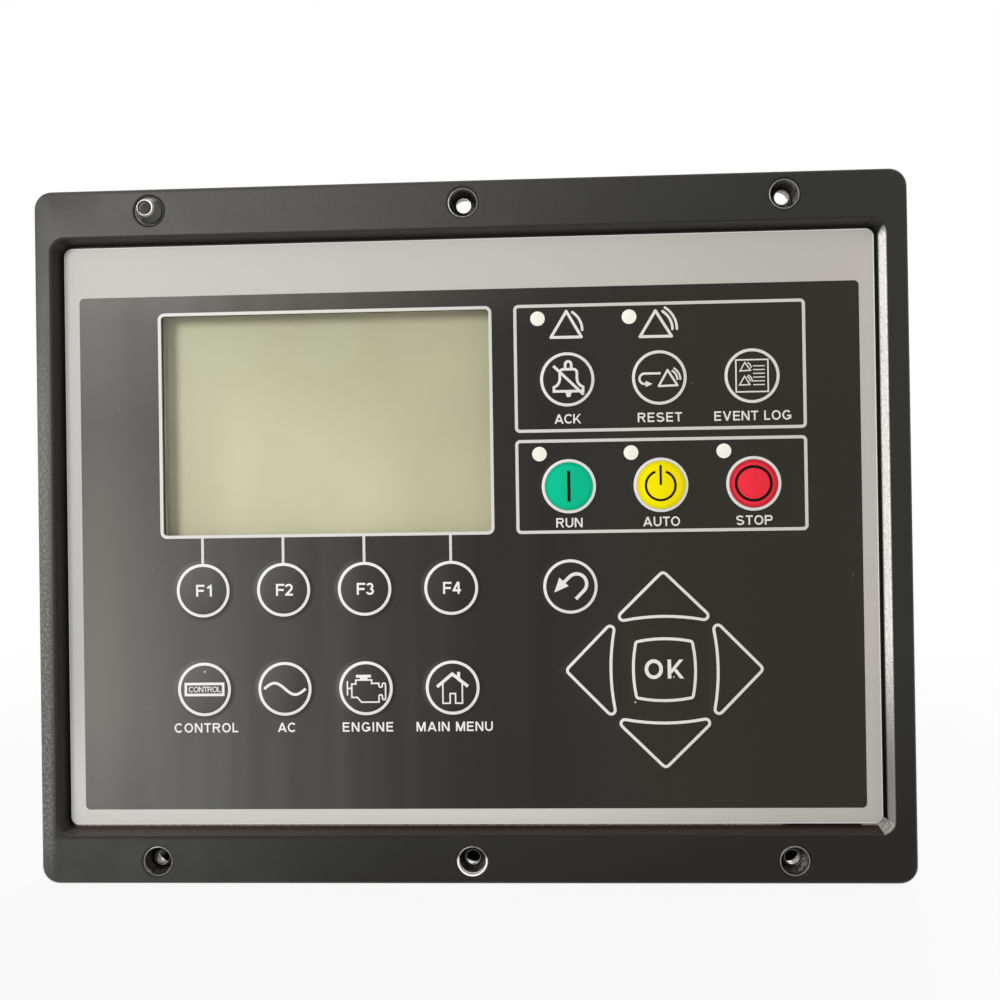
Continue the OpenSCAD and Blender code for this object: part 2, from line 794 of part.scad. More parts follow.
module keypad_circuit() {
    color([0.75, 0.78, 0.7]) keypad_layer(y_spacer, y_floor);
}

module snap_domes() {
    bulge = dome_h - dome_t;
    bulge_r = (pow(dome_d / 2, 2) + bulge * bulge) / (2 * bulge);
    rim_a = asin(dome_d / 2 / bulge_r);
    foot_a = acos((bulge_r - dome_h) / (bulge_r - dome_t));
    color("silver") for (p = DOMES)
        at_film(p) rotate([90, 0, 0]) translate([0, 0, -y_spacer + dome_h - bulge_r])
            rotate_extrude($fn = 32) polygon(concat(
                arc([0, 0], bulge_r, 90, 90 - rim_a, 4),
                [[dome_d / 2, bulge_r - dome_h]],
                flip(arc([0, 0], bulge_r - dome_t, 90, 90 - foot_a, 4))));
}

module keypad_tail() {
    color([0.6, 0.4, 0.2]) translate([tail_x, 0, tail_z]) slab(y_floor, y_board - socket_h)
        square([tail_w, tail_t], center = true);
}

module tail_socket() {
    color([0.85, 0.83, 0.76]) translate([tail_x, 0, tail_z]) slab(y_board - socket_h, y_board)
        square([tail_w + 6, 5], center = true);
}

module light_pipes() {
    color([0.85, 0.88, 0.88]) for (p = LAMPS) at_film(p) {
        bar(pipe_d, y_film, y_board - lamp_h);
        bar(pipe_d + 3, y_pad, y_pad + 1.2);
    }
}

module status_lamps() {
    color([0.95, 0.93, 0.8]) for (p = LAMPS) at_film(p)
        slab(y_board - lamp_h, y_board) square([3.4, 2.8], center = true);
}

// Display
module display_lens() {
    color([0.8, 0.85, 0.85, 0.4]) on_film(y_film, y_lens)
        translate([display_x, display_z]) round_rect(lens_w, lens_h, 2);
}

module display_gasket() {
    color([0.55, 0.55, 0.45]) on_film(y_lens, y_can) translate([display_x, display_z])
        frame_line(gasket_w, gasket_h, 1.5, gasket_wall);
}

module display_glass() {
    color([0.78, 0.8, 0.64]) on_film(y_cell, y_light)
        translate([display_x, display_z]) square([cell_w, cell_h], center = true);
}

module display_frame() {
    color([0.35, 0.35, 0.36]) on_film(y_can, y_board) translate([display_x, display_z])
        difference() {
            square([can_w, can_h], center = true);
            square([can_w - 2 * can_wall, can_h - 2 * can_wall], center = true);
        }
    color([0.35, 0.35, 0.36]) on_film(y_can, y_cell) translate([display_x, display_z])
        difference() {
            square([can_w, can_h], center = true);
            square([display_w + 2 * clear, display_h + 2 * clear], center = true);
        }
}

module display_backlight() {
    color([0.93, 0.93, 0.9]) on_film(y_light, y_board)
        translate([display_x, display_z]) square([cell_w, cell_h], center = true);
}

// Circuit boards
module board(y, places) {
    difference() {
        translate([0, 0, housing_z]) slab(y, y + board_t) round_rect(board_w, board_h, 3);
        pattern(places) bar(m3_pass, y - 1, y + board_t + 1, 24);
    }
}

module front_board() {
    color([0.05, 0.35, 0.2]) board(y_board, POSTS);
}

module main_board() {
    color([0.05, 0.35, 0.2]) board(y_main, MAIN_POSTS);
}

// Round-headed screw whose head sits at y and whose shank runs to y_end
module board_screw(y, dir, l) {
    tip = y + dir * m3_head_l;
    end = y - dir * l;
    bar(m3_head, min(y, tip), max(y, tip), 24);
    bar(m3_shank, min(y, end), max(y, end), 24);
}

module board_screws() {
    color("silver") pattern(POSTS) board_screw(y_board + board_t, 1, board_t + m3_grip);
}

module main_board_screws() {
    color("silver") pattern(MAIN_POSTS) board_screw(y_main, -1, board_t + m3_grip);
}

module link_header() {
    color([0.1, 0.1, 0.1]) translate([board_w / 4, 0, housing_z + part_gap])
        slab(y_board + board_t, y_main) square([link_w, link_d], center = true);
}

module processor_chips() {
    color([0.08, 0.08, 0.09]) translate([0, y_main, housing_z]) {
        translate([0, 0, 2 * part_gap]) slab(-2.4, 0) square(chip_w, center = true);
        for (i = [0.5, 2.5]) translate([-chip_w - part_gap, 0, i * part_gap])
            slab(-1.6, 0) square([memory_w, memory_h], center = true);
    }
}

module capacitors() {
    color([0.2, 0.25, 0.4]) for (i = [1:3])
        translate([-board_w / 2 + i * 1.4 * can_d, 0, housing_z + 2.5 * part_gap])
            bar(can_d, y_board + board_t + 2, y_main);
}

module clock_battery() {
    color("silver") translate([chip_w, 0, housing_z - 1.5 * part_gap])
        bar(battery_d, y_main - battery_t, y_main);
}

// Wiring headers
module header(x, w) {
    cavity_y = y_back + cavity_floor;
    color([0.15, 0.15, 0.15]) translate([x, 0, header_z]) difference() {
        union() {
            slab(y_main + board_t, y_header) round_rect(w, header_h, 2.5);
            slab(y_inside - 3, y_inside - seal_t)
                round_rect(w + 2 * header_lap, header_h + 2 * header_lap, 3);
        }
        slab(cavity_y, y_header + 1) difference() {
            round_rect(w - 2 * header_wall, header_h - 2 * header_wall, 1.5);
            circle(d = boss_d);
        }
        bar(jack_d, cavity_y - 4, y_header + 1);
    }
}

module main_header() {
    header(main_x, main_header_w);
}

module aux_header() {
    header(aux_x, aux_header_w);
}

pin_pitch = 5;
pin_l = 4;

// Square contact pins in rows, leaving the middle free for the jack nut
module pins(x, w) {
    nx = floor((w - 2 * header_wall - 6) / pin_pitch / 2);
    color("goldenrod") translate([x, 0, header_z])
        for (i = [-nx:nx], j = [-2:2])
            if (abs(i) > 1)
                translate([i * pin_pitch, 0, j * pin_pitch])
                    slab(y_back + cavity_floor, y_back + cavity_floor + pin_l)
                        square(1.2, center = true);
}

module main_pins() {
    pins(main_x, main_header_w);
}

module aux_pins() {
    pins(aux_x, aux_header_w);
}

module jack_nuts() {
    color("gold") for (x = [main_x, aux_x]) translate([x, 0, header_z]) difference() {
        bar(jack_d - 2 * slip, y_back - 3, y_header - 1, 24);
        bar(jack_bore, y_back - 1, y_header, 24);
    }
}

module header_seals() {
    color([0.5, 0.2, 0.1]) for (h = [[main_x, main_header_w], [aux_x, aux_header_w]])
        translate([h.x, 0, header_z]) slab(y_inside - seal_t, y_inside)
            frame_line(h.y + 2 * header_lap, header_h + 2 * header_lap, 3,
                       header_lap - clear);
}

// Service socket, breather and earth stud on the housing's back
module service_socket() {
    color([0.3, 0.3, 0.3]) translate([service_x, 0, service_z]) difference() {
        union() {
            bar(service_d, y_main + board_t, y_back + socket_l);
            bar(service_d + service_rim, y_back, y_back + 2);
        }
        bar(service_d - 2 * service_wall, y_back + cavity_floor, y_back + socket_l + 1);
    }
}

module service_pins() {
    color("goldenrod") translate([service_x, 0, service_z])
        for (a = [45:90:315])
            rotate([0, a, 0]) translate([3, 0, 0])
                bar(1.2, y_back + cavity_floor, y_back + cavity_floor + pin_l, 16);
}

module socket_nut() {
    color("silver") translate([service_x, 0, service_z]) slab(y_inside - 3, y_inside)
        difference() {
            circle(d = service_d + 6, $fn = 6);
            circle(d = service_d + 2 * slip);
        }
}

module breather_plug() {
    color([0.12, 0.12, 0.12]) translate([service_x, 0, breather_z]) {
        bar(breather_d, y_back, y_back + 3);
        bar(breather_neck - 2 * slip, y_inside, y_back + eps);
    }
}

module earth_stud() {
    color("silver") translate([earth_x, 0, header_z]) {
        bar(earth_d, y_inside - 2, y_back + 2 * nut_h + 2.4);
        slab(y_inside - 3, y_inside) circle(d = nut_w, $fn = 6);
    }
}

module earth_nuts() {
    color("silver") translate([earth_x, y_back, header_z]) for (y = [0, nut_h + 0.6])
        slab(y, y + nut_h) difference() {
            circle(d = nut_w, $fn = 6);
            circle(d = earth_d + 2 * slip);
        }
}

front_bezel();
overlay_film();
field_print();
panel_lines();
key_rings();
key_symbols();
run_key();
auto_key();
stop_key();
key_marks();
lamp_windows();
display_lens();
display_gasket();
display_glass();
display_frame();
display_backlight();
dome_spacer();
snap_domes();
keypad_circuit();
keypad_tail();
tail_socket();
light_pipes();
status_lamps();
front_board();
board_screws();
link_header();
main_board();
main_board_screws();
processor_chips();
capacitors();
clock_battery();
main_header();
main_pins();
aux_header();
aux_pins();
jack_nuts();
header_seals();
service_socket();
service_pins();
socket_nut();
rear_housing();
housing_screws();
housing_seal();
panel_seal();
mounting_sleeves();
mounting_bushes();
breather_plug();
earth_stud();
earth_nuts();
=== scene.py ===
# %% [markdown]
# # A generator's control panel
# A moulded black frame holds a printed membrane keypad and a display, and a box behind it holds
# the circuit boards. The frame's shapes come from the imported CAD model, in metres, and this
# lesson gives every piece its finish, adds the lettering, and lights the panel like a product
# picture. It reads from top to bottom, and each step says what the real piece is first.

# %% Load the frame
import math

import bmesh
import bpy
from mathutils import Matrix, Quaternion, Vector
from mathutils.geometry import delaunay_2d_cdt


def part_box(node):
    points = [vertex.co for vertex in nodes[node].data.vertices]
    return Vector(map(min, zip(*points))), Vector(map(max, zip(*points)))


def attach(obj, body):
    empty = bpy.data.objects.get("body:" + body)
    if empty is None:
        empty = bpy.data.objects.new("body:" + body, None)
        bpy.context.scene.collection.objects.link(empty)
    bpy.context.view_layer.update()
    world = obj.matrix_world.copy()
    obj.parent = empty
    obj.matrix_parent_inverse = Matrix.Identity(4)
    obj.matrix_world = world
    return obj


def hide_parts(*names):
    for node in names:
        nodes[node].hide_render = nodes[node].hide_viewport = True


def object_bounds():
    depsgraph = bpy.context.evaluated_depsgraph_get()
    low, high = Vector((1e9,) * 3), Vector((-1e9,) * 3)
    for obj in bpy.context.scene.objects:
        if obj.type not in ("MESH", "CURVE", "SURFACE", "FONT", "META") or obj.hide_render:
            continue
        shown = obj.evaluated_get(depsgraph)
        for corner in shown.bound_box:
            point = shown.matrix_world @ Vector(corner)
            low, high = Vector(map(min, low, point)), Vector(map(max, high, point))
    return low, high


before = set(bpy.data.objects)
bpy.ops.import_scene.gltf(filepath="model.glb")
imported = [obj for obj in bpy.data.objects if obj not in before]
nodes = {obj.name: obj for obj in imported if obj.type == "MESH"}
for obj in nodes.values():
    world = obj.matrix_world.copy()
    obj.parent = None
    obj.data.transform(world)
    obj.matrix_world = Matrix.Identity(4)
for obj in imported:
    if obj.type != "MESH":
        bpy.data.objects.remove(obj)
cad_low, cad_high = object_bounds()
MM = 0.001
print("nodes:", len(nodes), "size in mm:", [round(x / MM, 1) for x in cad_high - cad_low])

# %% [markdown]
# ## The panel's own ruler
# Everything printed on the film is placed from the film's centre, as on a printer's drawing.
# The film's box gives that centre, and the white lines' box gives the depths of the print.
# Reading them from the frame is better than typing them, because the lettering then stays on the
# film if the film moves.

# %% The film's centre and depths
film_low, film_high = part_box("overlay_film")
FILM_X = (film_low.x + film_high.x) / 2 / MM
FILM_Z = (film_low.z + film_high.z) / 2 / MM
FILM_W = (film_high.x - film_low.x) / MM
FILM_H = (film_high.z - film_low.z) / MM
line_low, line_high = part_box("panel_lines")
Y_LINE = line_low.y / MM
Y_PRINT = line_high.y / MM
print("film centre", round(FILM_X, 2), round(FILM_Z, 2))
print("print from", round(Y_LINE, 2), "to", round(Y_PRINT, 2))

# %% [markdown]
# ## Writing shaders as formulas
# A finish is a tree of nodes. Wiring each node by hand hides the idea, so a wire here is an
# object that knows plus, minus, times and divided by, and a formula such as `1 - mask` adds the
# Math nodes by itself. Every other node comes from one method: its type, its settings, then the
# values or wires of its sockets.

# %% Wires
class Wire:
    """One output of a shader node, with the arithmetic that a formula uses."""

    def __init__(self, finish, socket):
        self.finish = finish
        self.socket = socket

    def __add__(self, other):
        return self.finish.math("ADD", self, other)

    __radd__ = __add__

    def __sub__(self, other):
        return self.finish.math("SUBTRACT", self, other)

    def __rsub__(self, other):
        return self.finish.math("SUBTRACT", other, self)

    def __mul__(self, other):
        return self.finish.math("MULTIPLY", self, other)

    __rmul__ = __mul__

    def __truediv__(self, other):
        return self.finish.math("DIVIDE", self, other)

    def __neg__(self):
        return self.finish.math("SUBTRACT", 0, self)

    def __abs__(self):
        return self.finish.math("ABSOLUTE", self)


# %% Finishes
class Finish:
    """A node tree that is being built: a material's, or the world's."""

    def __init__(self, tree):
        self.tree = tree

    def node(self, kind, settings=None, values=None, output=0):
        """One node: its settings come first, then the values or wires of its sockets."""
        made = self.tree.nodes.new(kind)
        for key, value in (settings or {}).items():
            setattr(made, key, value)
        for key, value in (values or {}).items():
            self.feed(made.inputs[key], value)
        return Wire(self, made.outputs[output])

    def feed(self, socket, value):
        if isinstance(value, Wire):
            self.tree.links.new(value.socket, socket)
        else:
            socket.default_value = value

    def math(self, operation, *values):
        return self.node("ShaderNodeMath", {"operation": operation}, dict(enumerate(values)))

    def highest(self, value, *others):
        for other in others:
            value = self.math("MAXIMUM", value, other)
        return value

    def lowest(self, value, *others):
        for other in others:
            value = self.math("MINIMUM", value, other)
        return value


# %% [markdown]
# The patterns that the finishes share are small: where a point is, cloudy noise at a given
# size, a soft step between two values, a soft band, a mix of two colours, and bumps of a given
# height. Sizes are in millimetres here, and are turned into Blender's metres in one place.

# %% Patterns
WHITE = (1, 1, 1, 1)
BLACK = (0, 0, 0, 1)


def colour(r, g, b):
    """A screen colour from 0 to 255 as the linear values that a shader needs."""
    def linear(c):
        c = c / 255
        return c / 12.92 if c <= 0.04045 else ((c + 0.055) / 1.055) ** 2.4

    return (linear(r), linear(g), linear(b), 1)


class Paint(Finish):
    """A material with one Principled shader."""

    def __init__(self, name, base, roughness, **constants):
        self.material = bpy.data.materials.new(name)
        self.material.use_nodes = True
        super().__init__(self.material.node_tree)
        self.shader = self.tree.nodes["Principled BSDF"]
        self.set("Base Color", base)
        self.set("Roughness", roughness)
        for key, value in constants.items():
            self.set(key.replace("_", " "), value)
        self.place = self.node("ShaderNodeTexCoord", output="Object")

    def set(self, socket, value):
        self.feed(self.shader.inputs[socket], value)

    def axes(self):
        """The point's own x, y and z in millimetres."""
        scaled = self.node("ShaderNodeVectorMath", {"operation": "SCALE"},
                           {0: self.place, "Scale": 1 / MM})
        split = self.node("ShaderNodeSeparateXYZ", None, {0: scaled}, "X")
        outputs = split.socket.node.outputs
        return [Wire(self, outputs[name]) for name in "XYZ"]

    def noise(self, size, detail=2, stretch=(1, 1, 1)):
        """Noise whose clouds are about size millimetres, longer along an axis by stretch."""
        scale = [1 / (size * MM * s) for s in stretch]
        place = self.node("ShaderNodeVectorMath", {"operation": "MULTIPLY"},
                          {0: self.place, 1: scale})
        return self.node("ShaderNodeTexNoise", None,
                         {"Vector": place, "Scale": 1, "Detail": detail})

    def step(self, value, low, high):
        """0 below low, 1 above high and soft between."""
        return self.node("ShaderNodeMapRange", {"interpolation_type": "SMOOTHSTEP"},
                         {"Value": value, "From Min": low, "From Max": high})

    def band(self, value, start, full, fade, end):
        """0 up to start, 1 from full to fade, 0 again from end, and soft between."""
        return self.step(value, start, full) * (1 - self.step(value, fade, end))

    def blend(self, factor, first, second):
        return self.node("ShaderNodeMix", {"data_type": "RGBA"},
                         {0: factor, 6: first, 7: second}, 2)

    def bumps(self, *layers):
        """Each layer is a height pattern and its depth in millimetres."""
        normal = None
        for height, depth in layers:
            values = {"Height": height, "Distance": depth * MM, "Strength": 1}
            if normal is not None:
                values["Normal"] = normal
            normal = self.node("ShaderNodeBump", None, values)
        self.set("Normal", normal)


# %% [markdown]
# ## Putting pieces in place
# A CAD piece keeps its shape and gets a finish. Real mouldings and pressings have no knife-sharp
# edges, so its mesh is welded and its edges are rounded a little by modifiers, which leave the
# CAD mesh itself alone. A new piece is a mesh of its own, in millimetres from the frame's origin.

# %% Dress a CAD piece, and make a new one
CREASE = math.radians(35)


def dress(name, paint, edge=0.0):
    """Give a CAD piece its finish, and round its edges by this many millimetres."""
    made = nodes[name]
    for place in made.material_slots:
        place.material = paint.material
    if edge:
        weld = made.modifiers.new("weld", "WELD")
        weld.merge_threshold = 1e-6
        round_edges = made.modifiers.new("edges", "BEVEL")
        round_edges.width = edge * MM
        round_edges.segments = 2
        round_edges.limit_method = "ANGLE"
        round_edges.angle_limit = CREASE
        flats = made.modifiers.new("flats", "WEIGHTED_NORMAL")
        flats.weight = 100
    print("dressed", name)


def piece(name, verts, faces, paint, stands_for=(), smooth=True):
    """A new piece, in millimetres, that stands for the CAD nodes named."""
    mesh = bpy.data.meshes.new(name)
    mesh.from_pydata([Vector(v) * MM for v in verts], [], faces)
    form = bmesh.new()
    form.from_mesh(mesh)
    bmesh.ops.recalc_face_normals(form, faces=form.faces)
    form.to_mesh(mesh)
    form.free()
    if smooth:
        mesh.shade_smooth()
        mesh.set_sharp_from_angle(angle=CREASE)
    made = bpy.data.objects.new(name, mesh)
    bpy.context.scene.collection.objects.link(made)
    mesh.materials.append(paint.material)
    if stands_for:
        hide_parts(*stands_for)
    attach(made, "root")
    print(name, len(faces), "faces")


# %% [markdown]
# Liners, bushes and lamp windows are round, so they are made as on a lathe: a profile of radius
# and depth is turned about each centre. A profile that ends on the axis closes there.

# %% Turned pieces
SIDES = 48


def turned(profile, centres, closed=True):
    """Corners and faces of a profile of (radius, y) turned about centres (x, z)."""
    verts, faces = [], []
    for cx, cz in centres:
        rings = []
        for radius, y in profile:
            start = len(verts)
            if radius == 0:
                verts.append((cx, y, cz))
                rings.append([start] * SIDES)
                continue
            for i in range(SIDES):
                turn = math.tau * i / SIDES
                verts.append((cx + radius * math.cos(turn), y, cz + radius * math.sin(turn)))
            rings.append(list(range(start, start + SIDES)))
        following = rings[1:] + rings[:1] if closed else rings[1:]
        for ring, other in zip(rings, following):
            for i in range(SIDES):
                j = (i + 1) % SIDES
                around = (ring[i], ring[j], other[j], other[i])
                face = list(dict.fromkeys(around))
                if len(face) > 2:
                    faces.append(face)
    return verts, faces


# %% [markdown]
# ## The camera
# The picture was taken by hand, a little to the right of the panel's middle and turned slightly
# to the left. A wide lens near the panel gives the strong perspective that shows the recess
# walls, so the distance matters as much as the direction. The numbers were fitted to the edges,
# holes and keys.

# %% Camera
CAMERA_PLACE = Vector((25.8, -357.4, 9.2))
PAN = math.radians(2.377)
TILT = math.radians(0.254)
ROLL = math.radians(0.86)

camera_data = bpy.data.cameras.new("camera")
camera_data.sensor_width = 36
camera_data.lens = 36
camera_data.clip_start = 0.01
camera = bpy.data.objects.new("camera", camera_data)
bpy.context.scene.collection.objects.link(camera)
bpy.context.scene.camera = camera
aim = Vector((-math.sin(PAN) * math.cos(TILT), math.cos(PAN) * math.cos(TILT), math.sin(TILT)))
camera.rotation_mode = "QUATERNION"
camera.rotation_quaternion = aim.to_track_quat("-Z", "Y") @ Quaternion((0, 0, 1), -ROLL)
camera.location = CAMERA_PLACE * MM
print("camera", [round(x, 3) for x in camera.location])

# %% [markdown]
# ## Light and floor
# A window on the left lit the panel: it brightens the left of the satin film and throws the
# frame's shadow on the display's left edge. One large soft lamp stands for it, a weak one fills
# from the right, and the world adds an even light. The pale backdrop is the world's colour for
# what the camera, a gloss or a clear plate sees, so no extra light falls on the panel.

# %% World
world = bpy.data.worlds.new("studio")
bpy.context.scene.world = world
world.use_nodes = True
studio = Finish(world.node_tree)
AMBIENT = 0.33


def seen(tree):
    """1 for what the camera sees, straight, in a gloss or through a clear plate."""
    paths = tree.node("ShaderNodeLightPath").socket.node.outputs
    straight = Wire(tree, paths["Is Camera Ray"])
    gloss = Wire(tree, paths["Is Glossy Ray"])
    clear = Wire(tree, paths["Is Transmission Ray"])
    return tree.highest(straight, gloss, clear)


backdrop = world.node_tree.nodes["Background"]
backdrop.inputs["Color"].default_value = WHITE
studio.feed(backdrop.inputs["Strength"], seen(studio) * (1 - AMBIENT) + AMBIENT)
print("even light:", AMBIENT)


# %% Lamps
def lamp(name, place, size, power):
    """A soft lamp of this width and height that looks at the panel's middle."""
    light = bpy.data.lights.new(name, "AREA")
    light.shape = "RECTANGLE"
    light.size = size[0] * MM
    light.size_y = size[1] * MM
    light.energy = power
    made = bpy.data.objects.new(name, light)
    bpy.context.scene.collection.objects.link(made)
    made.location = Vector(place) * MM
    made.rotation_mode = "QUATERNION"
    made.rotation_quaternion = (-made.location).to_track_quat("-Z", "Y")
    print(name, "lamp", power, "W")


lamp("window", (-1380, -2440, 760), (860, 1000), 47)
lamp("fill", (900, -900, 500), (600, 600), 1)
lamp("rear", (400, 1200, 700), (700, 500), 12)

# %% [markdown]
# The floor is a pale sheet that turns to pure white far away, so no edge of it shows. Under the
# box behind the panel its colour is painted black: a painted shadow of the box, which the lower
# holes look down on.

# %% Floor
FLOOR_TINT = colour(238, 238, 236)
FLOOR_NEAR, FLOOR_FAR = 250, 900
floor_paint = Paint("floor", FLOOR_TINT, 0.8, Specular_IOR_Level=0)
x, y, z = floor_paint.axes()
away = floor_paint.math("SQRT", x * x + y * y)
near = 0.9 + 0.1 * floor_paint.step(away, FLOOR_NEAR, FLOOR_FAR)
beside = floor_paint.step(abs(x), 118, 150)
before = floor_paint.step(-y, -4, 14)
behind = floor_paint.step(y, 34, 58)
lit = floor_paint.highest(beside, before, behind)
# Painted shadow: the floor's colour is nearly black under the box
floor_paint.set("Base Color", floor_paint.blend(lit, colour(5, 5, 5), FLOOR_TINT))
glow = floor_paint.node("ShaderNodeEmission", None, {"Color": WHITE, "Strength": 1})
mixed = floor_paint.node("ShaderNodeMixShader", None,
                         {0: seen(floor_paint) * near * lit,
                          1: Wire(floor_paint, floor_paint.shader.outputs[0]), 2: glow})
output = floor_paint.tree.nodes["Material Output"]
floor_paint.feed(output.inputs["Surface"], mixed)

# The floor is made in metres, at the panel's lowest point
HALF_FLOOR = 4.0
ground = cad_low.z
floor_mesh = bpy.data.meshes.new("floor")
floor_mesh.from_pydata([(-HALF_FLOOR, -HALF_FLOOR, ground), (HALF_FLOOR, -HALF_FLOOR, ground),
                        (HALF_FLOOR, HALF_FLOOR, ground), (-HALF_FLOOR, HALF_FLOOR, ground)],
                       [], [(0, 1, 2, 3)])
floor = bpy.data.objects.new("floor", floor_mesh)
bpy.context.scene.collection.objects.link(floor)
floor_mesh.materials.append(floor_paint.material)
print("floor at", round(ground / MM, 1), "mm")

# %% [markdown]
# ## Colour management
# Standard keeps a colour as it is written, which a product picture needs.

# %% View
bpy.context.scene.view_settings.view_transform = "Standard"
print("view:", bpy.context.scene.view_settings.view_transform)

# %% [markdown]
# ## The bezel
# A frame like this is injection-moulded in black glass-filled nylon. Its grain comes from the
# mould, so it is a fine bump. The rest is painted into its colour: painted light, mottled like
# dust, that pales it towards the upper left, painted shade at the lower right and on the left and
# top recess walls, a painted sheen on the grain of the left strip, a line of crumbs where the
# film meets the recess, a painted highlight in one corner, and a painted reflection of the window
# on the right recess wall, which faces it. Each is a mask over the point's own place, so no
# picture is used.

# %% Places on the bezel
Y_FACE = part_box("front_bezel")[0].y / MM
bezel = Paint("bezel_plastic", colour(26, 26, 24), 0.4, Specular_IOR_Level=0.26)
x, y, z = bezel.axes()
# How far a point lies past each edge of the film
right = x - FILM_X - FILM_W / 2
left = FILM_X - FILM_W / 2 - x
above = z - FILM_Z - FILM_H / 2
below = FILM_Z - FILM_H / 2 - z
upper_side = bezel.highest(left, above)
outside = bezel.highest(upper_side, right, below)
in_recess = bezel.band(y, Y_FACE + 0.1, Y_FACE + 0.7, -4.2, -3.9)
in_recess = in_recess * (1 - bezel.step(outside, 4.5, 4.9))
print("bezel's face at", round(Y_FACE, 1), "mm")

# %% Painted light and dust on the bezel
CLEAN = colour(29, 29, 24)
cloud = bezel.noise(14, 3)
sparkle = bezel.step(bezel.noise(1, 3), 0.4, 0.66)
# Painted light, mottled like dust, makes the plastic paler towards the upper left, less at the
# top corner, and painted shade darkens the lower right
dust_and_painted_light = bezel.step(z - x, -20, 240)
shade = bezel.blend(dust_and_painted_light * (0.75 + 0.5 * cloud), CLEAN, colour(71, 69, 65))
top_corner = bezel.step(z, 96, 112) * bezel.step(-x, 20, 120)
shade = bezel.blend(top_corner * 0.3, shade, CLEAN)
shade = bezel.blend(bezel.step(0.5 * x - 2 * z, 150, 300), shade, colour(12, 8, 6))
foot = bezel.step(below, 2.2, 4) * bezel.step(-x, 20, 130)
shade = bezel.blend(foot * (0.2 + 0.35 * cloud), shade, colour(88, 88, 86))
# Painted sheen: the window's light on the grain of the left strip's front
strip = bezel.step(left, 2.2, 5.0) * bezel.band(z, -126, -98, 20, 95)
strip = strip * bezel.step(-y, 10.2, 11.2)
shade = bezel.blend(strip * (0.4 + 0.6 * sparkle), shade, colour(128, 127, 122))
print("bezel nodes:", len(bezel.tree.nodes))

# %% Recess walls
# Painted shade darkens the left and top walls, and a painted reflection of the window makes the
# right one shine, most of all in its upper part
walls = bezel.band(upper_side, 0.6, 0.9, 2.9, 3.2) * in_recess
shade = bezel.blend(walls, shade, colour(46, 45, 41))
wall_right = bezel.band(right, 1.2, 1.5, 3.7, 4.0) * in_recess
wall_right = wall_right * bezel.step(-y, 6.0, 6.8) * bezel.step(-above, -0.5, 4)
streak = bezel.step(bezel.noise(0.4, 3, (1.8, 1.8, 1)), 0.3, 0.62)
upper = bezel.step(z, -88, -34)
shine = bezel.blend(upper, colour(152, 153, 153), colour(255, 252, 245))
shine = bezel.blend((0.5 + 0.5 * streak) * (0.3 + 0.7 * upper), colour(146, 145, 142), shine)
shade = bezel.blend(wall_right, shade, shine)
# The lower wall is brownish, with painted light that makes it paler towards the left, and a
# line of crumbs runs along the film
wall_below = bezel.band(below, 0.8, 1.2, 3.8, 4.4) * in_recess
brown = bezel.blend(bezel.step(-x, 0, 130), colour(54, 46, 39), colour(86, 78, 73))
shade = bezel.blend(wall_below * 0.8, shade, brown)
crumbs = bezel.step(bezel.noise(0.5, 4, (1.8, 1, 1)), 0.42, 0.6)
crumbs = (0.4 + 0.6 * crumbs) * (1 - bezel.step(right, -36, -32))
crumbs = bezel.highest(crumbs, bezel.step(right, -7.4, -6.4))
dust_line = bezel.band(below, 0.2, 0.35, 0.8, 1.2) * in_recess * bezel.step(y, -5.7, -5.1)
crumbs = crumbs * dust_line
shade = bezel.blend(crumbs, shade, colour(156, 149, 140))
print("bezel nodes:", len(bezel.tree.nodes))

# %% Corner, gloss and grain
# A painted highlight on the facets of the lower right corner of the recess
corner = bezel.band(right, -1.7, -1.3, 3.2, 3.6) * bezel.band(below, -1.8, -1.4, 2.4, 2.8)
facets = 0.55 + 0.45 * bezel.step(bezel.noise(1.3, 2), 0.35, 0.7)
corner_highlight = corner * in_recess * facets
shade = bezel.blend(corner_highlight, shade, colour(172, 169, 163))
bezel.set("Base Color", shade)
# Painted glints: the right wall, the corner and the crumbs glow a little, like the window's
# reflection
glint = wall_right * streak * (0.04 + 0.3 * upper) + corner_highlight * 0.08 + crumbs * 0.01
bezel.set("Emission Color", bezel.blend(glint, BLACK, (1, 0.98, 0.95, 1)))
bezel.set("Emission Strength", 1)
bezel.set("Roughness", 0.36 + 0.16 * cloud)
bezel.bumps((bezel.noise(0.45, 3), 0.045), (bezel.noise(2.2, 2), 0.05))
dress("front_bezel", bezel, 0.4)

# %% [markdown]
# ## The printed film
# The keypad's face is one polyester film, textured against glare and printed from behind. Over
# each key it is pressed out a little, so a key's outline catches the window on its left side.
# The rise is a height pattern made from the distance to the nearest key, and the ink of the
# key outlines and the coloured faces takes the same pattern, because it lies on the same film.

# %% Raised keys
# Columns and rows of keys, in millimetres from the film's centre
COLUMNS = [-94.1, -65.2, -36.3, -5.6]
GROUPS = [36.3, 68.4, 100.5]
ALARM_KEYS, MODE_KEYS, SOFT_ROW, MENU_KEYS = 52.7, 15.2, -19.9, -55.0
NAV = (68.65, -49.3)
ROUND_KEYS = [(x, z) for z in (SOFT_ROW, MENU_KEYS) for x in COLUMNS]
ROUND_KEYS += [(x, z) for z in (ALARM_KEYS, MODE_KEYS) for x in GROUPS] + [(GROUPS[0], SOFT_ROW)]
print("round keys:", len(ROUND_KEYS))
KEY_RADIUS, DOME_RADIUS, OK_HALF = 9.5, 9, 11.3
# An arrow key is a triangle with its foot towards the middle: how far its foot, its two ends and
# its slanting sides lie from the middle, and the slanting sides' direction
ARROW_FOOT, ARROW_HALF, ARROW_SIDE = 16.3, 15.9, 25.6
SLOPE = math.radians(45.65)
# A key rises over this distance on both sides of its outline
EDGE = 1.7


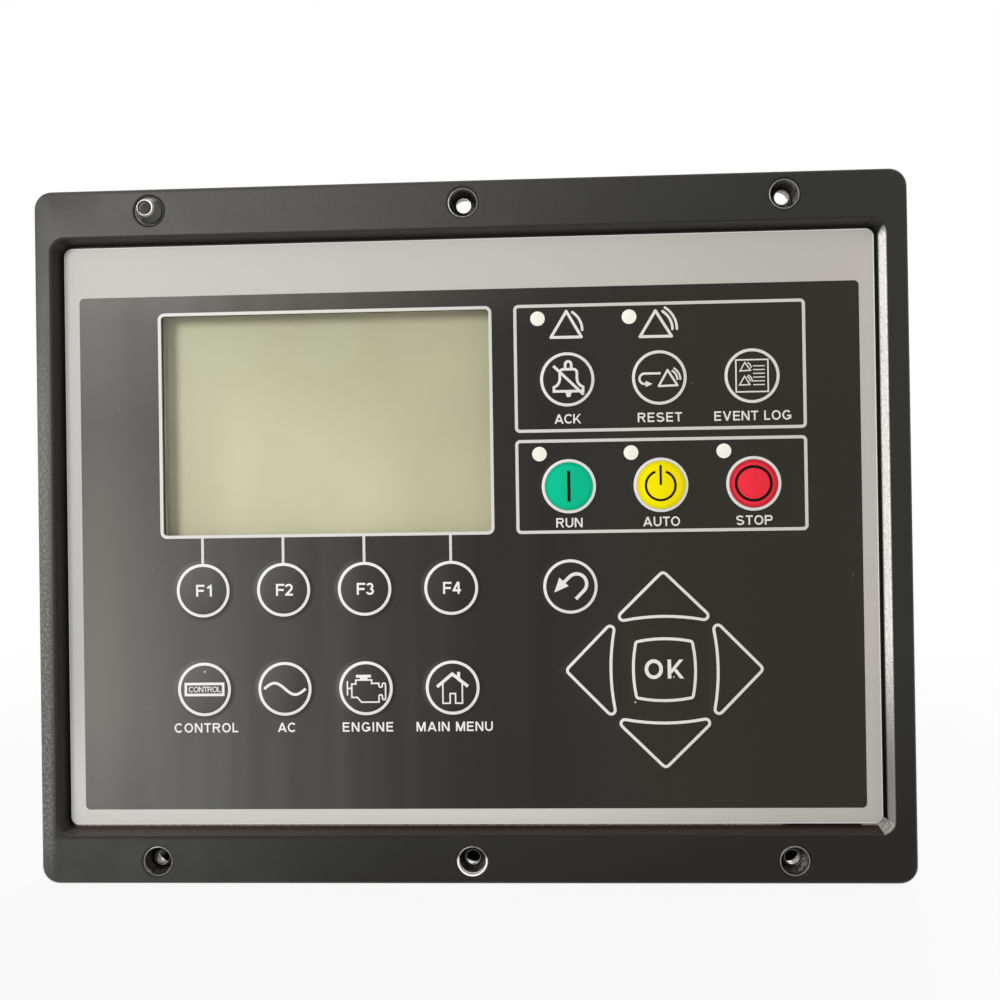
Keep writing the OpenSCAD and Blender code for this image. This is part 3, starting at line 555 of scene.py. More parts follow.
def raised_keys(paint):
    """A height that is 0 between keys, 1 on a key and 2 in the middle of a round key."""
    x, y, z = paint.axes()
    flat = paint.node("ShaderNodeCombineXYZ", None, {0: x - FILM_X, 1: 0.0, 2: z - FILM_Z})
    nearest = paint.lowest(*[
        paint.node("ShaderNodeVectorMath", {"operation": "DISTANCE"},
                   {0: flat, 1: (key_x, 0, key_z)}, "Value") for key_x, key_z in ROUND_KEYS])
    across = abs(x - (FILM_X + NAV[0]))
    along = abs(z - (FILM_Z + NAV[1]))
    far = paint.highest(across, along)
    near = paint.lowest(across, along)
    slanting = math.cos(SLOPE) * near + math.sin(SLOPE) * far - ARROW_SIDE
    arrow = paint.highest(ARROW_FOOT - far, slanting, near - ARROW_HALF)
    edge = paint.lowest(nearest - KEY_RADIUS, far - OK_HALF, arrow)
    dome = paint.highest(1 - nearest * nearest / DOME_RADIUS ** 2, 0.0)
    return 1 - paint.step(edge, -EDGE, EDGE) + dome


# %% Film
FILM_GREY = colour(193, 191, 185)
film = Paint("film", FILM_GREY, 0.5)
x, y, z = film.axes()
cut_edge = film.lowest(FILM_W / 2 - abs(x - FILM_X), FILM_H / 2 - abs(z - FILM_Z))
# Painted light: the film is paler towards the bottom and darker towards the right, and a painted
# highlight runs along its cut edge
film_shade = film.blend(film.step(-z, 40, 104), FILM_GREY, colour(220, 218, 212))
film_shade = film.blend(film.step(x, 0, 140) * 0.8, film_shade, colour(181, 177, 170))
film_shade = film.blend(film.step(cut_edge, 0.15, 0.45), colour(236, 234, 228), film_shade)
film.set("Base Color", film_shade)
film.bumps((film.noise(0.25, 2), 0.004), (film.noise(60, 1), 0.15))
dress("overlay_film", film)

# %% Black field
FIELD_BLACK = colour(20, 17, 4)
field = Paint("field_ink", FIELD_BLACK, 0.36, Specular_IOR_Level=0.3)
x, y, z = field.axes()
middle = field.band(x, -60, -20, 24, 60)
calm = field.band(x, -95, -40, 24, 60) * field.step(-z, 50, 85)
field.set("Roughness", 0.36 - 0.022 * middle - 0.028 * calm)
# The film is wavy, and its lower part is bent to face up a little, towards the window
waves = field.noise(34, 2, (1, 1, 9))
down = field.highest(40 - z, 0.0)
bend = down * down * 0.001
field.bumps((field.noise(0.22, 2), 0.006), (waves, 0.7), (raised_keys(field), 0.16), (bend, 1))
print("field nodes:", len(field.tree.nodes))

# %% Painted sheen and dust on the field
# Three grains of dust, as x, z and radius in millimetres
GRAINS = [(57.5, -60.6, 0.3), (-94.8, -48.8, 0.3), (71, -51.9, 0.25)]
# Painted shade darkens the middle of the field, and a painted sheen of the window pales its left
# edge and its top
field_shade = field.blend(middle, FIELD_BLACK, colour(9, 4, 0))
painted_sheen = field.step(-x, 96, 134) * (0.5 + 0.5 * field.step(-z, -70, 50))
painted_sheen = painted_sheen * field.step(z, -112, -56)
painted_sheen = field.highest(painted_sheen, field.step(z, 68, 84) * field.step(-x, -60, 60) * 0.7)
field_shade = field.blend(painted_sheen, field_shade, colour(72, 68, 58))
specks = field.step(field.noise(1.3, 2), 0.76, 0.8) * field.step(field.noise(22, 1), 0.55, 0.65)
field_shade = field.blend(specks, field_shade, colour(112, 108, 100))
for grain_x, grain_z, radius in GRAINS:
    spot = field.node("ShaderNodeCombineXYZ", None, {0: x - grain_x, 1: 0.0, 2: z - grain_z})
    spot = field.node("ShaderNodeVectorMath", {"operation": "LENGTH"}, {0: spot}, "Value")
    clear = field.step(spot, radius - 0.15, radius + 0.15)
    field_shade = field.blend(clear, colour(214, 210, 200), field_shade)
field.set("Base Color", field_shade)
dress("field_print", field)


# %% White ink
def white_print(name, near_tint, far_tint, rise=0.0):
    """White ink with painted light, brighter at the lower left, and raised where the keys are."""
    made = Paint(name, far_tint, 0.46, Specular_IOR_Level=0.3)
    x, y, z = made.axes()
    far = made.step(x + 0.4 * z, -60, 120)
    made.set("Base Color", made.blend(far, near_tint, far_tint))
    layers = [(made.noise(0.3, 2), 0.004)]
    if rise:
        layers.append((raised_keys(made), rise))
    made.bumps(*layers)
    return made


line_ink = white_print("line_ink", colour(230, 228, 223), colour(206, 204, 199))
ring_ink = white_print("ring_ink", colour(251, 249, 245), colour(224, 222, 217), 0.5)
letter_ink = white_print("letter_ink", colour(254, 253, 250), colour(226, 224, 220))
dress("panel_lines", line_ink)
dress("key_rings", ring_ink)

# %% [markdown]
# The run, auto and stop keys have coloured faces. Each has painted shade that makes it a little
# darker to the right, and it is darker along its edge. The yellow is so bright that it gets a
# faint painted glow of its own. One recipe makes all three, because the point's distance from
# its own key repeats from key to key.

# %% Coloured inks
# A key's tint, how dark its edge is, and its painted glow
KEY_INKS = {"run_key": ((10, 204, 154), 0.2, BLACK),
            "auto_key": ((255, 238, 0), 0.2, (0.07, 0.05, 0, 1)),
            "stop_key": ((254, 54, 70), 0.45, BLACK)}
KEY_STEP = GROUPS[1] - GROUPS[0]
for name, (tint, edge_share, glow) in KEY_INKS.items():
    key_ink = Paint(name + "_ink", colour(*tint), 0.42, Specular_IOR_Level=0.05)
    x, y, z = key_ink.axes()
    across = x - (FILM_X + GROUPS[1])
    across = across - KEY_STEP * key_ink.math("ROUND", across / KEY_STEP)
    up = z - (FILM_Z + MODE_KEYS)
    reach = key_ink.math("SQRT", across * across + up * up)
    # Painted shade: the key is a little darker to the right
    shade = key_ink.blend(key_ink.step(across, -7, 5) * 0.7, colour(*tint),
                          colour(*[0.9 * c for c in tint]))
    edge = key_ink.step(reach, 6.9, 7.7) * edge_share
    key_ink.set("Base Color", key_ink.blend(edge, shade, colour(*[0.5 * c for c in tint])))
    key_ink.set("Emission Color", glow)
    key_ink.set("Emission Strength", 1)
    key_ink.bumps((key_ink.noise(0.3, 2), 0.004), (raised_keys(key_ink), 0.12))
    dress(name, key_ink)

# %% [markdown]
# ## Lamp windows
# Each window is a drop of clear resin over cream ink, so it is domed with a thin rim. A bump on
# the flat CAD disc would shade like a dome but show no rim from the side, so it is turned anew.

# %% Lamp windows
lamp_low, lamp_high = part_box("lamp_windows")
LAMP_R = 2.55
LAMPS = [(26.2, 74.2), (58.2, 74.2), (26.15, 26.65), (58.15, 26.65), (90.35, 26.7)]
lamp_ink = Paint("lamp_ink", colour(252, 249, 236), 0.45, Specular_IOR_Level=0.3)
lamp_ink.bumps((lamp_ink.noise(0.7, 2), 0.01))
front, back = lamp_low.y / MM, lamp_high.y / MM
dome = [(0, front - 0.22), (0.8, front - 0.2), (1.5, front - 0.14), (2.05, front - 0.05),
        (2.3, front + 0.02), (2.4, front - 0.03), (LAMP_R, front), (LAMP_R, back), (0, back)]
lamp_places = [(FILM_X + x, FILM_Z + z) for x, z in LAMPS]
verts, faces = turned(dome, lamp_places, closed=False)
piece("lamp_domes", verts, faces, lamp_ink, ("lamp_windows",))

# %% [markdown]
# ## The display
# Behind a clear plate lies a reflective liquid-crystal cell, whose unlit glass is pale
# yellow-green. A foam strip seals it to the frame, and shows its olive layers on the left. The
# plate could bend the light as glass does, but it is thin, and a nearly clear Alpha with a sharp
# gloss looks the same with less noise.

# %% Display plate and cell
lens = Paint("lens", WHITE, 0.1, Alpha=0.03, Specular_IOR_Level=0.3)
lens.bumps((lens.noise(30, 1), 0.02))
dress("display_lens", lens)

cell = Paint("cell", colour(212, 208, 173), 0.5)
x, y, z = cell.axes()
# Painted light and shade: the cell is paler towards the lower left and darker towards both sides
cell_shade = cell.blend(cell.step(0.3 * x + z, -5, 62), colour(205, 202, 164),
                        colour(172, 171, 133))
CELL_MIDDLE = -59
from_middle = abs(x - CELL_MIDDLE)
cell_shade = cell.blend(cell.step(from_middle, 22, 44) * 0.5, cell_shade, colour(178, 174, 138))
# The unlit glass is a little greener in places
cell_shade = cell.blend(cell.step(cell.noise(26, 1), 0.42, 0.62) * 0.3, cell_shade,
                        colour(184, 190, 150))
motes = cell.step(cell.noise(1.5, 2), 0.74, 0.78)
cell.set("Base Color", cell.blend(motes * 0.35, cell_shade, colour(150, 146, 120)))
cell.bumps((cell.noise(0.3, 1), 0.001))
dress("display_glass", cell)

# %% Display gasket
gasket = Paint("gasket", colour(120, 118, 92), 0.7)
x, y, z = gasket.axes()
layers = gasket.step(gasket.noise(0.5, 1, (40, 1, 40)), 0.45, 0.6)
foam = gasket.blend(layers, colour(140, 134, 108), colour(190, 183, 156))
# Painted shade: the gasket's front, under the film's edge, is dark
gasket.set("Base Color", gasket.blend(gasket.step(y, -3.9, -3.0), colour(50, 48, 39), foam))
gasket.bumps((gasket.noise(0.4, 2), 0.02))
dress("display_gasket", gasket)

# %% [markdown]
# ## Liners and bushes
# A steel liner in each hole takes the screw's load, and a turned bush narrows it. The liners are
# dull and dirty, and the bright stripes of their turned grooves are painted glints. The upper
# left bush has slipped forward, and shows its cone, its bright tip, its rusty bore and painted
# shade on its far side. Both are turned from a profile. The finest grooves would need thousands
# of faces, so they are stripes of noise that change only with the depth.

# %% Liner shape
sleeve_low, sleeve_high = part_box("mounting_sleeves")
SLEEVE_R, BORE_R, SCREW_R = 5.4, 4.7, 2.4
hole_x = sleeve_high.x / MM - SLEEVE_R
hole_z = sleeve_high.z / MM - SLEEVE_R
HOLES = [(x, z) for x in (-hole_x, 0, hole_x) for z in (-hole_z, hole_z)]
Y_LIP = sleeve_low.y / MM
liner = [(SLEEVE_R, 0), (SLEEVE_R, Y_LIP + 0.6), (5.32, Y_LIP + 0.3), (5.22, Y_LIP + 0.08),
         (5.1, Y_LIP), (4.84, Y_LIP), (4.74, Y_LIP + 0.1), (BORE_R, Y_LIP + 0.4),
         (BORE_R, -1), (3.9, -1), (3.9, 0)]
print("holes at", [(round(x, 1), round(z, 1)) for x, z in HOLES])

# %% Liner steel
dull = Paint("liner_steel", colour(130, 128, 121), 0.34)
x, y, z = dull.axes()
worn = dull.step(dull.noise(1.2, 3), 0.42, 0.62)
grooves = dull.step(dull.noise(0.5, 1, (60, 1, 60)), 0.5, 0.6)
# Painted glints: the turned grooves are light and dark stripes
liner_shade = dull.blend(grooves * (0.3 + 0.7 * worn), colour(104, 103, 99),
                         colour(212, 210, 203))
lip = 1 - dull.step(y, Y_LIP + 0.1, Y_LIP + 0.6)
liner_shade = dull.blend(lip * (0.4 + 0.5 * worn), liner_shade, colour(138, 136, 131))
# Two painted highlights: arcs at the foot of the lower middle liner
lower_mid = (1 - dull.step(abs(x), 7, 9)) * dull.step(-z, 112, 114)
first = 1 - dull.step(y, Y_LIP + 0.6, Y_LIP + 0.8)
second = dull.band(y, Y_LIP + 1.2, Y_LIP + 1.4, Y_LIP + 2.2, Y_LIP + 2.5)
bright = lower_mid * dull.highest(first, second)
liner_shade = dull.blend(bright, liner_shade, colour(248, 246, 240))
# Painted shade darkens the lip of the liner behind the bush that has slipped, under the bush's
# cone, and rust from the screw stains its bore
slipped = dull.step(-x, 90, 100) * dull.step(z, 90, 100)
liner_shade = dull.blend(slipped * lip, liner_shade, colour(62, 62, 59))
rust = slipped * dull.band(y, -10.3, -9.9, -1.3, -1.1)
liner_shade = dull.blend(rust, liner_shade, colour(84, 58, 53))
dull.set("Base Color", liner_shade)
print("liner steel nodes:", len(dull.tree.nodes))

# %% Liner shine
# Painted glints of the window on the lower right of each bore; they glow a little, as do the
# painted highlights of the lower middle liner
from_x = x - hole_x * dull.math("ROUND", x / hole_x)
from_z = z - hole_z * dull.math("SIGN", z)
glint = dull.step(0.85 * from_x - 0.5 * from_z, 3.5, 4.3) * grooves * worn
glint = glint * dull.step(y, Y_LIP + 0.5, Y_LIP + 1.5) * (1 - rust)
dull.set("Metallic", 0.75 - 0.7 * dull.highest(0.6 * bright, rust))
light = dull.highest(0.3 * bright, 0.35 * glint)
dull.set("Emission Color", dull.blend(light, BLACK, WHITE))
dull.set("Emission Strength", 1)
dull.set("Roughness", 0.3 + 0.16 * worn)
dull.bumps((dull.noise(0.5, 2), 0.03))
verts, faces = turned(liner, HOLES)
piece("liners", verts, faces, dull, ("mounting_sleeves",))

# %% Bush steel
proud_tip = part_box("mounting_bushes")[0].y / MM
bush_steel = Paint("bush_steel", colour(225, 222, 214), 0.25, Metallic=1)
x, y, z = bush_steel.axes()
inside = bush_steel.step(y, Y_LIP, Y_LIP + 2.5)
# Painted glints: the turned grooves of the sunk bushes are light and dark stripes, and the lower
# left bush is darker
grooves = bush_steel.step(bush_steel.noise(0.6, 1, (60, 1, 60)), 0.48, 0.6)
sunk_shade = bush_steel.blend(grooves, colour(104, 102, 97), colour(222, 219, 211))
lower_left = bush_steel.step(-x - z, 190, 200)
sunk_shade = bush_steel.blend(lower_left, sunk_shade, colour(84, 82, 79))
bush_shade = bush_steel.blend(inside, colour(214, 211, 203), sunk_shade)
# Painted shade darkens the far side of the bush that stands out, and its bore is rusty
off_x = x + hole_x
off_z = z - hole_z
shady = bush_steel.step(0.8 * off_x - 0.6 * off_z, -1.4, 1.2)
shady = shady * bush_steel.band(y, Y_LIP - 3.75, Y_LIP - 3.45, Y_LIP + 1, Y_LIP + 1.5)
bush_shade = bush_steel.blend(shady, bush_shade, colour(96, 98, 93))
radius = bush_steel.math("SQRT", off_x * off_x + off_z * off_z)
bore = 1 - bush_steel.step(radius - 0.33 * (y - proud_tip), 2.46, 2.54)
bush_shade = bush_steel.blend(bore, bush_shade, colour(98, 60, 54))
bush_steel.set("Base Color", bush_shade)
bush_steel.set("Metallic", 1 - 0.85 * bore)
bush_steel.set("Roughness", 0.22 + 0.25 * bush_steel.noise(1.1, 2))
bush_steel.bumps((bush_steel.noise(0.4, 2), 0.02))
print("bush steel nodes:", len(bush_steel.tree.nodes))

# %% Bushes
BUSH_LENGTH = 6.2
BANDS = 4


def bush(tip):
    """A tapered bush from its tip backwards, with turned grooves between bands."""
    cone = []
    for i in range(BANDS):
        radius = 2.72 + 1.78 * i / BANDS
        depth = tip + 0.12 + 3.78 * i / BANDS
        cone += [(radius, depth), (radius + 0.36, depth + 0.74), (radius + 0.3, depth + 0.82)]
    return [(SCREW_R, tip + 0.2), (2.46, tip + 0.05), (2.54, tip), (2.64, tip), *cone,
            (4.55, tip + 3.95), (4.55, tip + BUSH_LENGTH), (3.9, tip + BUSH_LENGTH),
            (3.9, tip + BUSH_LENGTH - 1), (SCREW_R, tip + 1.2)]


proud = (-hole_x, hole_z)
verts, faces = turned(bush(-1 - BUSH_LENGTH), [place for place in HOLES if place != proud])
piece("sunk_bushes", verts, faces, bush_steel, ("mounting_bushes",))
verts, faces = turned(bush(proud_tip), [proud])
piece("proud_bush", verts, faces, bush_steel, ("mounting_bushes",))

# %% [markdown]
# ## Behind the panel
# The back and the inside aren't in the photo, so they get the finishes that such parts have:
# black nylon mouldings, zinc-plated screws, gold-plated pins, brass nuts, green boards. Each is
# a tint, a roughness, a metal share, a grain's size and depth, and how far its edges are
# rounded, and is followed by the pieces that wear it.

# %% Finishes of the hidden pieces
PLAIN = {
    "housing_resin": ((34, 34, 35), 0.5, 0, (0.5, 0.05), 0.6, ["rear_housing"]),
    "black_resin": ((26, 26, 27), 0.42, 0, (0.6, 0.02), 0.3,
                    ["main_header", "aux_header", "service_socket", "breather_plug"]),
    "link_resin": ((26, 26, 27), 0.42, 0, (0.6, 0.02), 0, ["link_header"]),
    "chip_resin": ((24, 24, 26), 0.55, 0, (0.3, 0.01), 0, ["processor_chips"]),
    "zinc_steel": ((196, 197, 194), 0.34, 1, (0.8, 0.01), 0.15,
                   ["board_screws", "main_board_screws", "housing_screws", "socket_nut",
                    "earth_nuts", "earth_stud"]),
    "gold_plate": ((226, 184, 98), 0.25, 1, (0.5, 0.004), 0,
                   ["main_pins", "aux_pins", "service_pins"]),
    "brass": ((206, 168, 92), 0.3, 1, (0.5, 0.01), 0.15, ["jack_nuts"]),
    "board": ((14, 92, 46), 0.3, 0, (1.5, 0.01), 0, ["front_board", "main_board"]),
    "tin_plate": ((92, 92, 94), 0.4, 1, (1.2, 0.01), 0, ["display_frame"]),
    "spring_steel": ((200, 200, 198), 0.3, 1, (0.6, 0.006), 0, ["snap_domes"]),
    "cell_steel": ((208, 208, 206), 0.28, 1, (0.6, 0.005), 0, ["clock_battery"]),
    "can_sleeve": ((36, 52, 96), 0.35, 0, (0.8, 0.005), 0, ["capacitors"]),
    "diffuser": ((236, 236, 232), 0.6, 0, (0.5, 0.004), 0, ["display_backlight"]),
    "spacer_film": ((226, 226, 216), 0.4, 0, (0.5, 0.004), 0, ["dome_spacer"]),
    "circuit_film": ((176, 186, 164), 0.4, 0, (0.5, 0.004), 0,
                     ["keypad_circuit", "keypad_tail"]),
    "socket_resin": ((222, 216, 196), 0.45, 0, (0.5, 0.01), 0, ["tail_socket"]),
    "clear_resin": ((236, 240, 238), 0.12, 0, (2, 0.01), 0, ["light_pipes"]),
    "lamp_resin": ((244, 240, 214), 0.2, 0, (1, 0.01), 0, ["status_lamps"]),
    "seal_rubber": ((30, 30, 30), 0.8, 0, (0.3, 0.03), 0, ["housing_seal", "panel_seal"]),
    "red_rubber": ((146, 44, 26), 0.6, 0, (0.4, 0.02), 0, ["header_seals"]),
}
for name, (tint, roughness, metal, (size, depth), edge, wearers) in PLAIN.items():
    plain = Paint(name, colour(*tint), roughness, Metallic=metal)
    mottle = plain.noise(9, 3)
    plain.set("Roughness", roughness - 0.06 + 0.12 * mottle)
    plain.bumps((plain.noise(size, 2), depth))
    for wearer in wearers:
        dress(wearer, plain, edge)

# %% [markdown]
# ## Lettering
# The words on the film are plain function words in a bold sign-writer's capital. A font file
# would bring its own outlines, so each letter is drawn here the way a sign-writer does it: a
# few strokes of one weight along centre lines, in units of the letter's height. Upright and
# curved strokes are ribbons; slanting ones have level ends.

# %% Strokes
WEIGHT = 0.165
HALF = WEIGHT / 2


def curve(cx, cz, rx, rz, start, end, steps=16):
    """Points along an ellipse's arc, angles in degrees."""
    turns = [math.radians(start + (end - start) * i / steps) for i in range(steps + 1)]
    return [(cx + rx * math.cos(t), cz + rz * math.sin(t)) for t in turns]


def ribbon(line, width, closed=False):
    """Four-sided shapes side by side along a line, with mitred corners."""
    points = [Vector(p) for p in line]
    count = len(points)
    ways = []
    for i in range(count if closed else count - 1):
        ways.append((points[(i + 1) % count] - points[i]).normalized())
    left, right = [], []
    for i, point in enumerate(points):
        before = ways[i - 1] if closed or i > 0 else ways[0]
        after = ways[i] if closed or i < count - 1 else ways[-1]
        side = Vector((-before.y - after.y, before.x + after.x))
        side *= width / 2 / (1 + before.dot(after))
        left.append(point + side)
        right.append(point - side)
    quads = []
    for i in range(len(ways)):
        j = (i + 1) % count
        quads.append([left[i], left[j], right[j], right[i]])
    return quads


def slant(x0, z0, x1, z1, width):
    """A slanting stroke whose ends are level."""
    h = width / 2
    return [(x0 - h, z0), (x0 + h, z0), (x1 + h, z1), (x1 - h, z1)]


# %% Letters
TOP = 1 - HALF
MID = 0.52
# Each letter has its width, its ribbons' centre lines and its slanting strokes
LETTERS = {
    "A": (0.98, [[(0.22, 0.29), (0.76, 0.29)]],
          [(0.1, 0, 0.49, 1), (0.88, 0, 0.49, 1)]),
    "C": (0.89, [curve(0.47, 0.5, 0.47 - HALF, 0.51 - HALF, 42, 318, 24)], []),
    "E": (0.72, [[(0.72, TOP), (HALF, TOP), (HALF, HALF), (0.72, HALF)],
                 [(HALF, MID), (0.67, MID)]], []),
    "F": (0.71, [[(0.71, TOP), (HALF, TOP), (HALF, 0)], [(HALF, 0.49), (0.65, 0.49)]], []),
    "G": (0.92, [curve(0.47, 0.5, 0.47 - HALF, 0.51 - HALF, 40, 330, 24),
                 [(0.5, 0.43), (0.92 - HALF, 0.43), (0.92 - HALF, 0.12)]], []),
    "I": (WEIGHT, [[(HALF, 0), (HALF, 1)]], []),
    "K": (0.85, [[(HALF, 0), (HALF, 1)]],
          [(0.12, 0.29, 0.71, 1), (0.36, 0.5, 0.74, 0)]),
    "L": (0.62, [[(HALF, 1), (HALF, HALF), (0.62, HALF)]], []),
    "M": (0.98, [[(HALF, 0), (HALF, 1)], [(0.98 - HALF, 0), (0.98 - HALF, 1)]],
          [(0.12, 1, 0.49, 0), (0.86, 1, 0.49, 0)]),
    "N": (0.83, [[(HALF, 0), (HALF, 1)], [(0.83 - HALF, 0), (0.83 - HALF, 1)]],
          [(0.11, 1, 0.72, 0)]),
    "O": (0.94, [curve(0.47, 0.5, 0.47 - HALF, 0.51 - HALF, 0, 360, 32)], []),
    "P": (0.82, [[(HALF, 0), (HALF, 1)],
                 [(HALF, TOP), *curve(0.5, 0.7, 0.32 - HALF, TOP - 0.7, 90, -90), (HALF, 0.485)]],
          []),
    "R": (0.84, [[(HALF, 0), (HALF, 1)],
                 [(HALF, TOP), *curve(0.51, 0.72, 0.3 - HALF, TOP - 0.72, 90, -90),
                  (HALF, 0.525)]],
          [(0.46, 0.5, 0.74, 0)]),
    "S": (0.85, [curve(0.42, 0.727, 0.4 - HALF, 0.195, 22, 255)
                 + curve(0.43, 0.283, 0.42 - HALF, 0.205, 75, -160)], []),
    "T": (0.75, [[(0, TOP), (0.75, TOP)], [(0.375, TOP), (0.375, 0)]], []),
    "U": (0.82, [[(HALF, 1), *curve(0.41, 0.38, 0.41 - HALF, 0.39 - HALF, 180, 360),
                  (0.82 - HALF, 1)]], []),
    "V": (0.92, [], [(0.1, 1, 0.46, 0), (0.82, 1, 0.46, 0)]),
    "1": (0.42, [[(0.42 - HALF, 0), (0.42 - HALF, 1)], [(0.04, 0.72), (0.36, 0.9)]], []),
    "2": (0.68, [[*curve(0.34, 0.68, 0.34 - HALF, 0.32 - HALF, 165, -35), (0.12, HALF)],
                 [(0.03, HALF), (0.68, HALF)]], []),
    "3": (0.68, [curve(0.33, 0.73, 0.3 - HALF, 0.27 - HALF, 160, -80)
                 + curve(0.33, 0.29, 0.34 - HALF, 0.3 - HALF, 80, -165)], []),
    "4": (0.7, [[(0.5, 0), (0.5, 1)], [(0, 0.29), (0.7, 0.29)]], [(0.07, 0.25, 0.46, 1)]),
}
SPACE = 0.3
print("letters:", "".join(LETTERS))


def word(text, centre, base, cap, width, weight=WEIGHT):
    """Strokes of a word of this height and width, in millimetres from the film's centre."""
    gaps = len(text) - 1
    inked = sum(SPACE if c == " " else LETTERS[c][0] for c in text)
    gap = (width / cap - inked) / gaps
    shapes = []
    start = 0
    for c in text:
        if c != " ":
            strokes = [s for line in LETTERS[c][1] for s in ribbon(line, weight)]
            strokes += [slant(*s, weight * 1.12) for s in LETTERS[c][2]]
            for stroke in strokes:
                shapes.append([(centre - width / 2 + (start + p[0]) * cap, base + p[1] * cap)
                               for p in stroke])
        start += (SPACE if c == " " else LETTERS[c][0]) + gap
    return shapes


# %% [markdown]
# Strokes overlap where they meet. Printing them one over the other would leave faces inside
# faces, so each group is merged first: a constrained triangulation cuts the plane along every
# stroke's edge, and the triangles whose middle lies in any stroke are kept. Those triangles, a
# copy of them on the film and a wall round the outside make thin solid ink.

# %% Ink
def covers(outline, point):
    """True where a convex outline, counter-clockwise, holds the point."""
    for a, b in zip(outline, [*outline[1:], outline[0]]):
        if (b[0] - a[0]) * (point.y - a[1]) < (b[1] - a[1]) * (point.x - a[0]):
            return False
    return True


def ink(name, groups, paint, stands_for=(), behind=Y_PRINT):
    """Thin solid print of groups of overlapping outlines, from the film's centre."""
    verts, solid = [], []
    for group in groups:
        outlines, corners, faces = [], [], []
        for shape in group:
            turns = sum(p[0] * q[1] - q[0] * p[1]
                        for p, q in zip(shape, [*shape[1:], shape[0]]))
            outlines.append(shape if turns > 0 else shape[::-1])
            faces.append(list(range(len(corners), len(corners) + len(shape))))
            corners += [Vector(p) for p in outlines[-1]]
        cut = delaunay_2d_cdt(corners, [], faces, 1, 1e-4)
        flat, cells = cut[0], cut[2]
        kept = []
        for cell in cells:
            middle = sum((flat[i] for i in cell), Vector((0, 0))) / len(cell)
            if any(covers(outline, middle) for outline in outlines):
                kept.append(cell)
        front, back = len(verts), len(verts) + len(flat)
        verts += [(FILM_X + p.x, Y_LINE, FILM_Z + p.y) for p in flat]
        verts += [(FILM_X + p.x, behind, FILM_Z + p.y) for p in flat]
        solid += [[front + i for i in cell] for cell in kept]
        solid += [[back + i for i in reversed(cell)] for cell in kept]
        edges = {(cell[i - 1], cell[i]) for cell in kept for i in range(len(cell))}
        solid += [(front + q, front + p, back + p, back + q)
                  for p, q in edges if (q, p) not in edges]
    piece(name, verts, solid, paint, stands_for, smooth=False)


# %% Words on the keys
CAP = 3.3
ALARM_ROW, MODE_ROW, MENU_ROW = 37.2, 0.8, -70.3
words = []
for text, x, width in zip(("ACK", "RESET", "EVENT LOG"), GROUPS, (9.4, 15.4, 26.5)):
    words.append(word(text, x, ALARM_ROW, CAP, width))
for text, x, width in zip(("RUN", "AUTO", "STOP"), GROUPS, (9.2, 12.8, 12.6)):
    words.append(word(text, x, MODE_ROW, CAP, width))
for text, x, width in zip(("CONTROL", "AC", "ENGINE", "MAIN MENU"), COLUMNS,
                          (22.9, 6.5, 17.9, 26.9)):
    words.append(word(text, x + 0.5, MENU_ROW, CAP, width))
for number, x, width in zip("1234", COLUMNS, (5.6, 6.0, 6.1, 6.3)):
    words.append(word("F" + number, x + 0.3, SOFT_ROW - 2.1, 4.2, width, 0.168))
words.append(word("OK", 68.6, -52.4, 6.6, 13.6, 0.19))
words.append(word("CONTROL", COLUMNS[0] + 0.1, -56, 2.0, 11.6, 0.135))
ink("key_words", words, letter_ink)

# %% [markdown]
# ## Symbols on the keys
# The symbols are lines of one weight as well, some with round ends. Each is drawn about its own
# key's centre with the ribbons of the lettering, and merged into one thin print.

# %% Drawing tools
symbols = {}


def draw(place, line, width, closed=False):
    """A stroke of this width along a line that is given from a key's centre."""
    for shape in ribbon(line, width, closed):
        fill(place, shape)


def fill(place, outline):
    """A solid convex outline that is given from a key's centre."""
    shape = [(place[0] + p[0], place[1] + p[1]) for p in outline]
    symbols.setdefault(place, []).append(shape)


def dot(place, centre, width):
    """A round end for a stroke of this width."""
    fill(place, curve(*centre, width / 2, width / 2, 0, 330, 11))


def triangle(place, corners, width):
    """Three strokes with round ends."""
    for i, corner in enumerate(corners):
        draw(place, [corners[i - 1], corner], width)
        dot(place, corner, width)


def sound(place, cx, cz, radius, end, width):
    """An arc from the right upwards, with round ends."""
    line = curve(cx, cz, radius, radius, 0, end, 8)
    draw(place, line, width)
    for tip in (line[0], line[-1]):
        dot(place, tip, width)


# %% Alarm signs and the alarm keys
# The two signs belong to no key, so they are placed from the film's centre
HERE = (0, 0)
triangle(HERE, [(36.3, 76.6), (30.8, 67.5), (41.5, 67.5)], 1.0)
sound(HERE, 34.3, 69.95, 7.5, 57, 0.9)
triangle(HERE, [(67.4, 76.1), (61.9, 67.1), (72.9, 67.1)], 1.0)
sound(HERE, 65.8, 69.6, 7.45, 57, 0.9)
sound(HERE, 65.8, 69.6, 9.0, 57, 0.85)

bell = (GROUPS[0] + 0.4, ALARM_KEYS)
draw(bell, [*curve(1.8, 2.35, 1.2, 1.2, 90, 0, 4), (3, 0), (3.3, -1.1), (4, -2.1),
            (5.1, -2.75), (5.1, -4.17), (-5.1, -4.17), (-5.1, -2.75), (-4, -2.1),
            (-3.3, -1.1), (-3, 0), *curve(-1.8, 2.35, 1.2, 1.2, 180, 90, 4)], 0.92, True)
draw(bell, [(-1.07, 3.9), *curve(0, 5.2, 1.07, 1.1, 180, 0, 8), (1.07, 3.9)], 0.95)
fill(bell, [(-1.15, -4.5), (1.15, -4.5), (0.57, -6.2), (-0.57, -6.2)])
draw(bell, [(-5.23, 4.79), (5.27, -5.43)], 0.95)

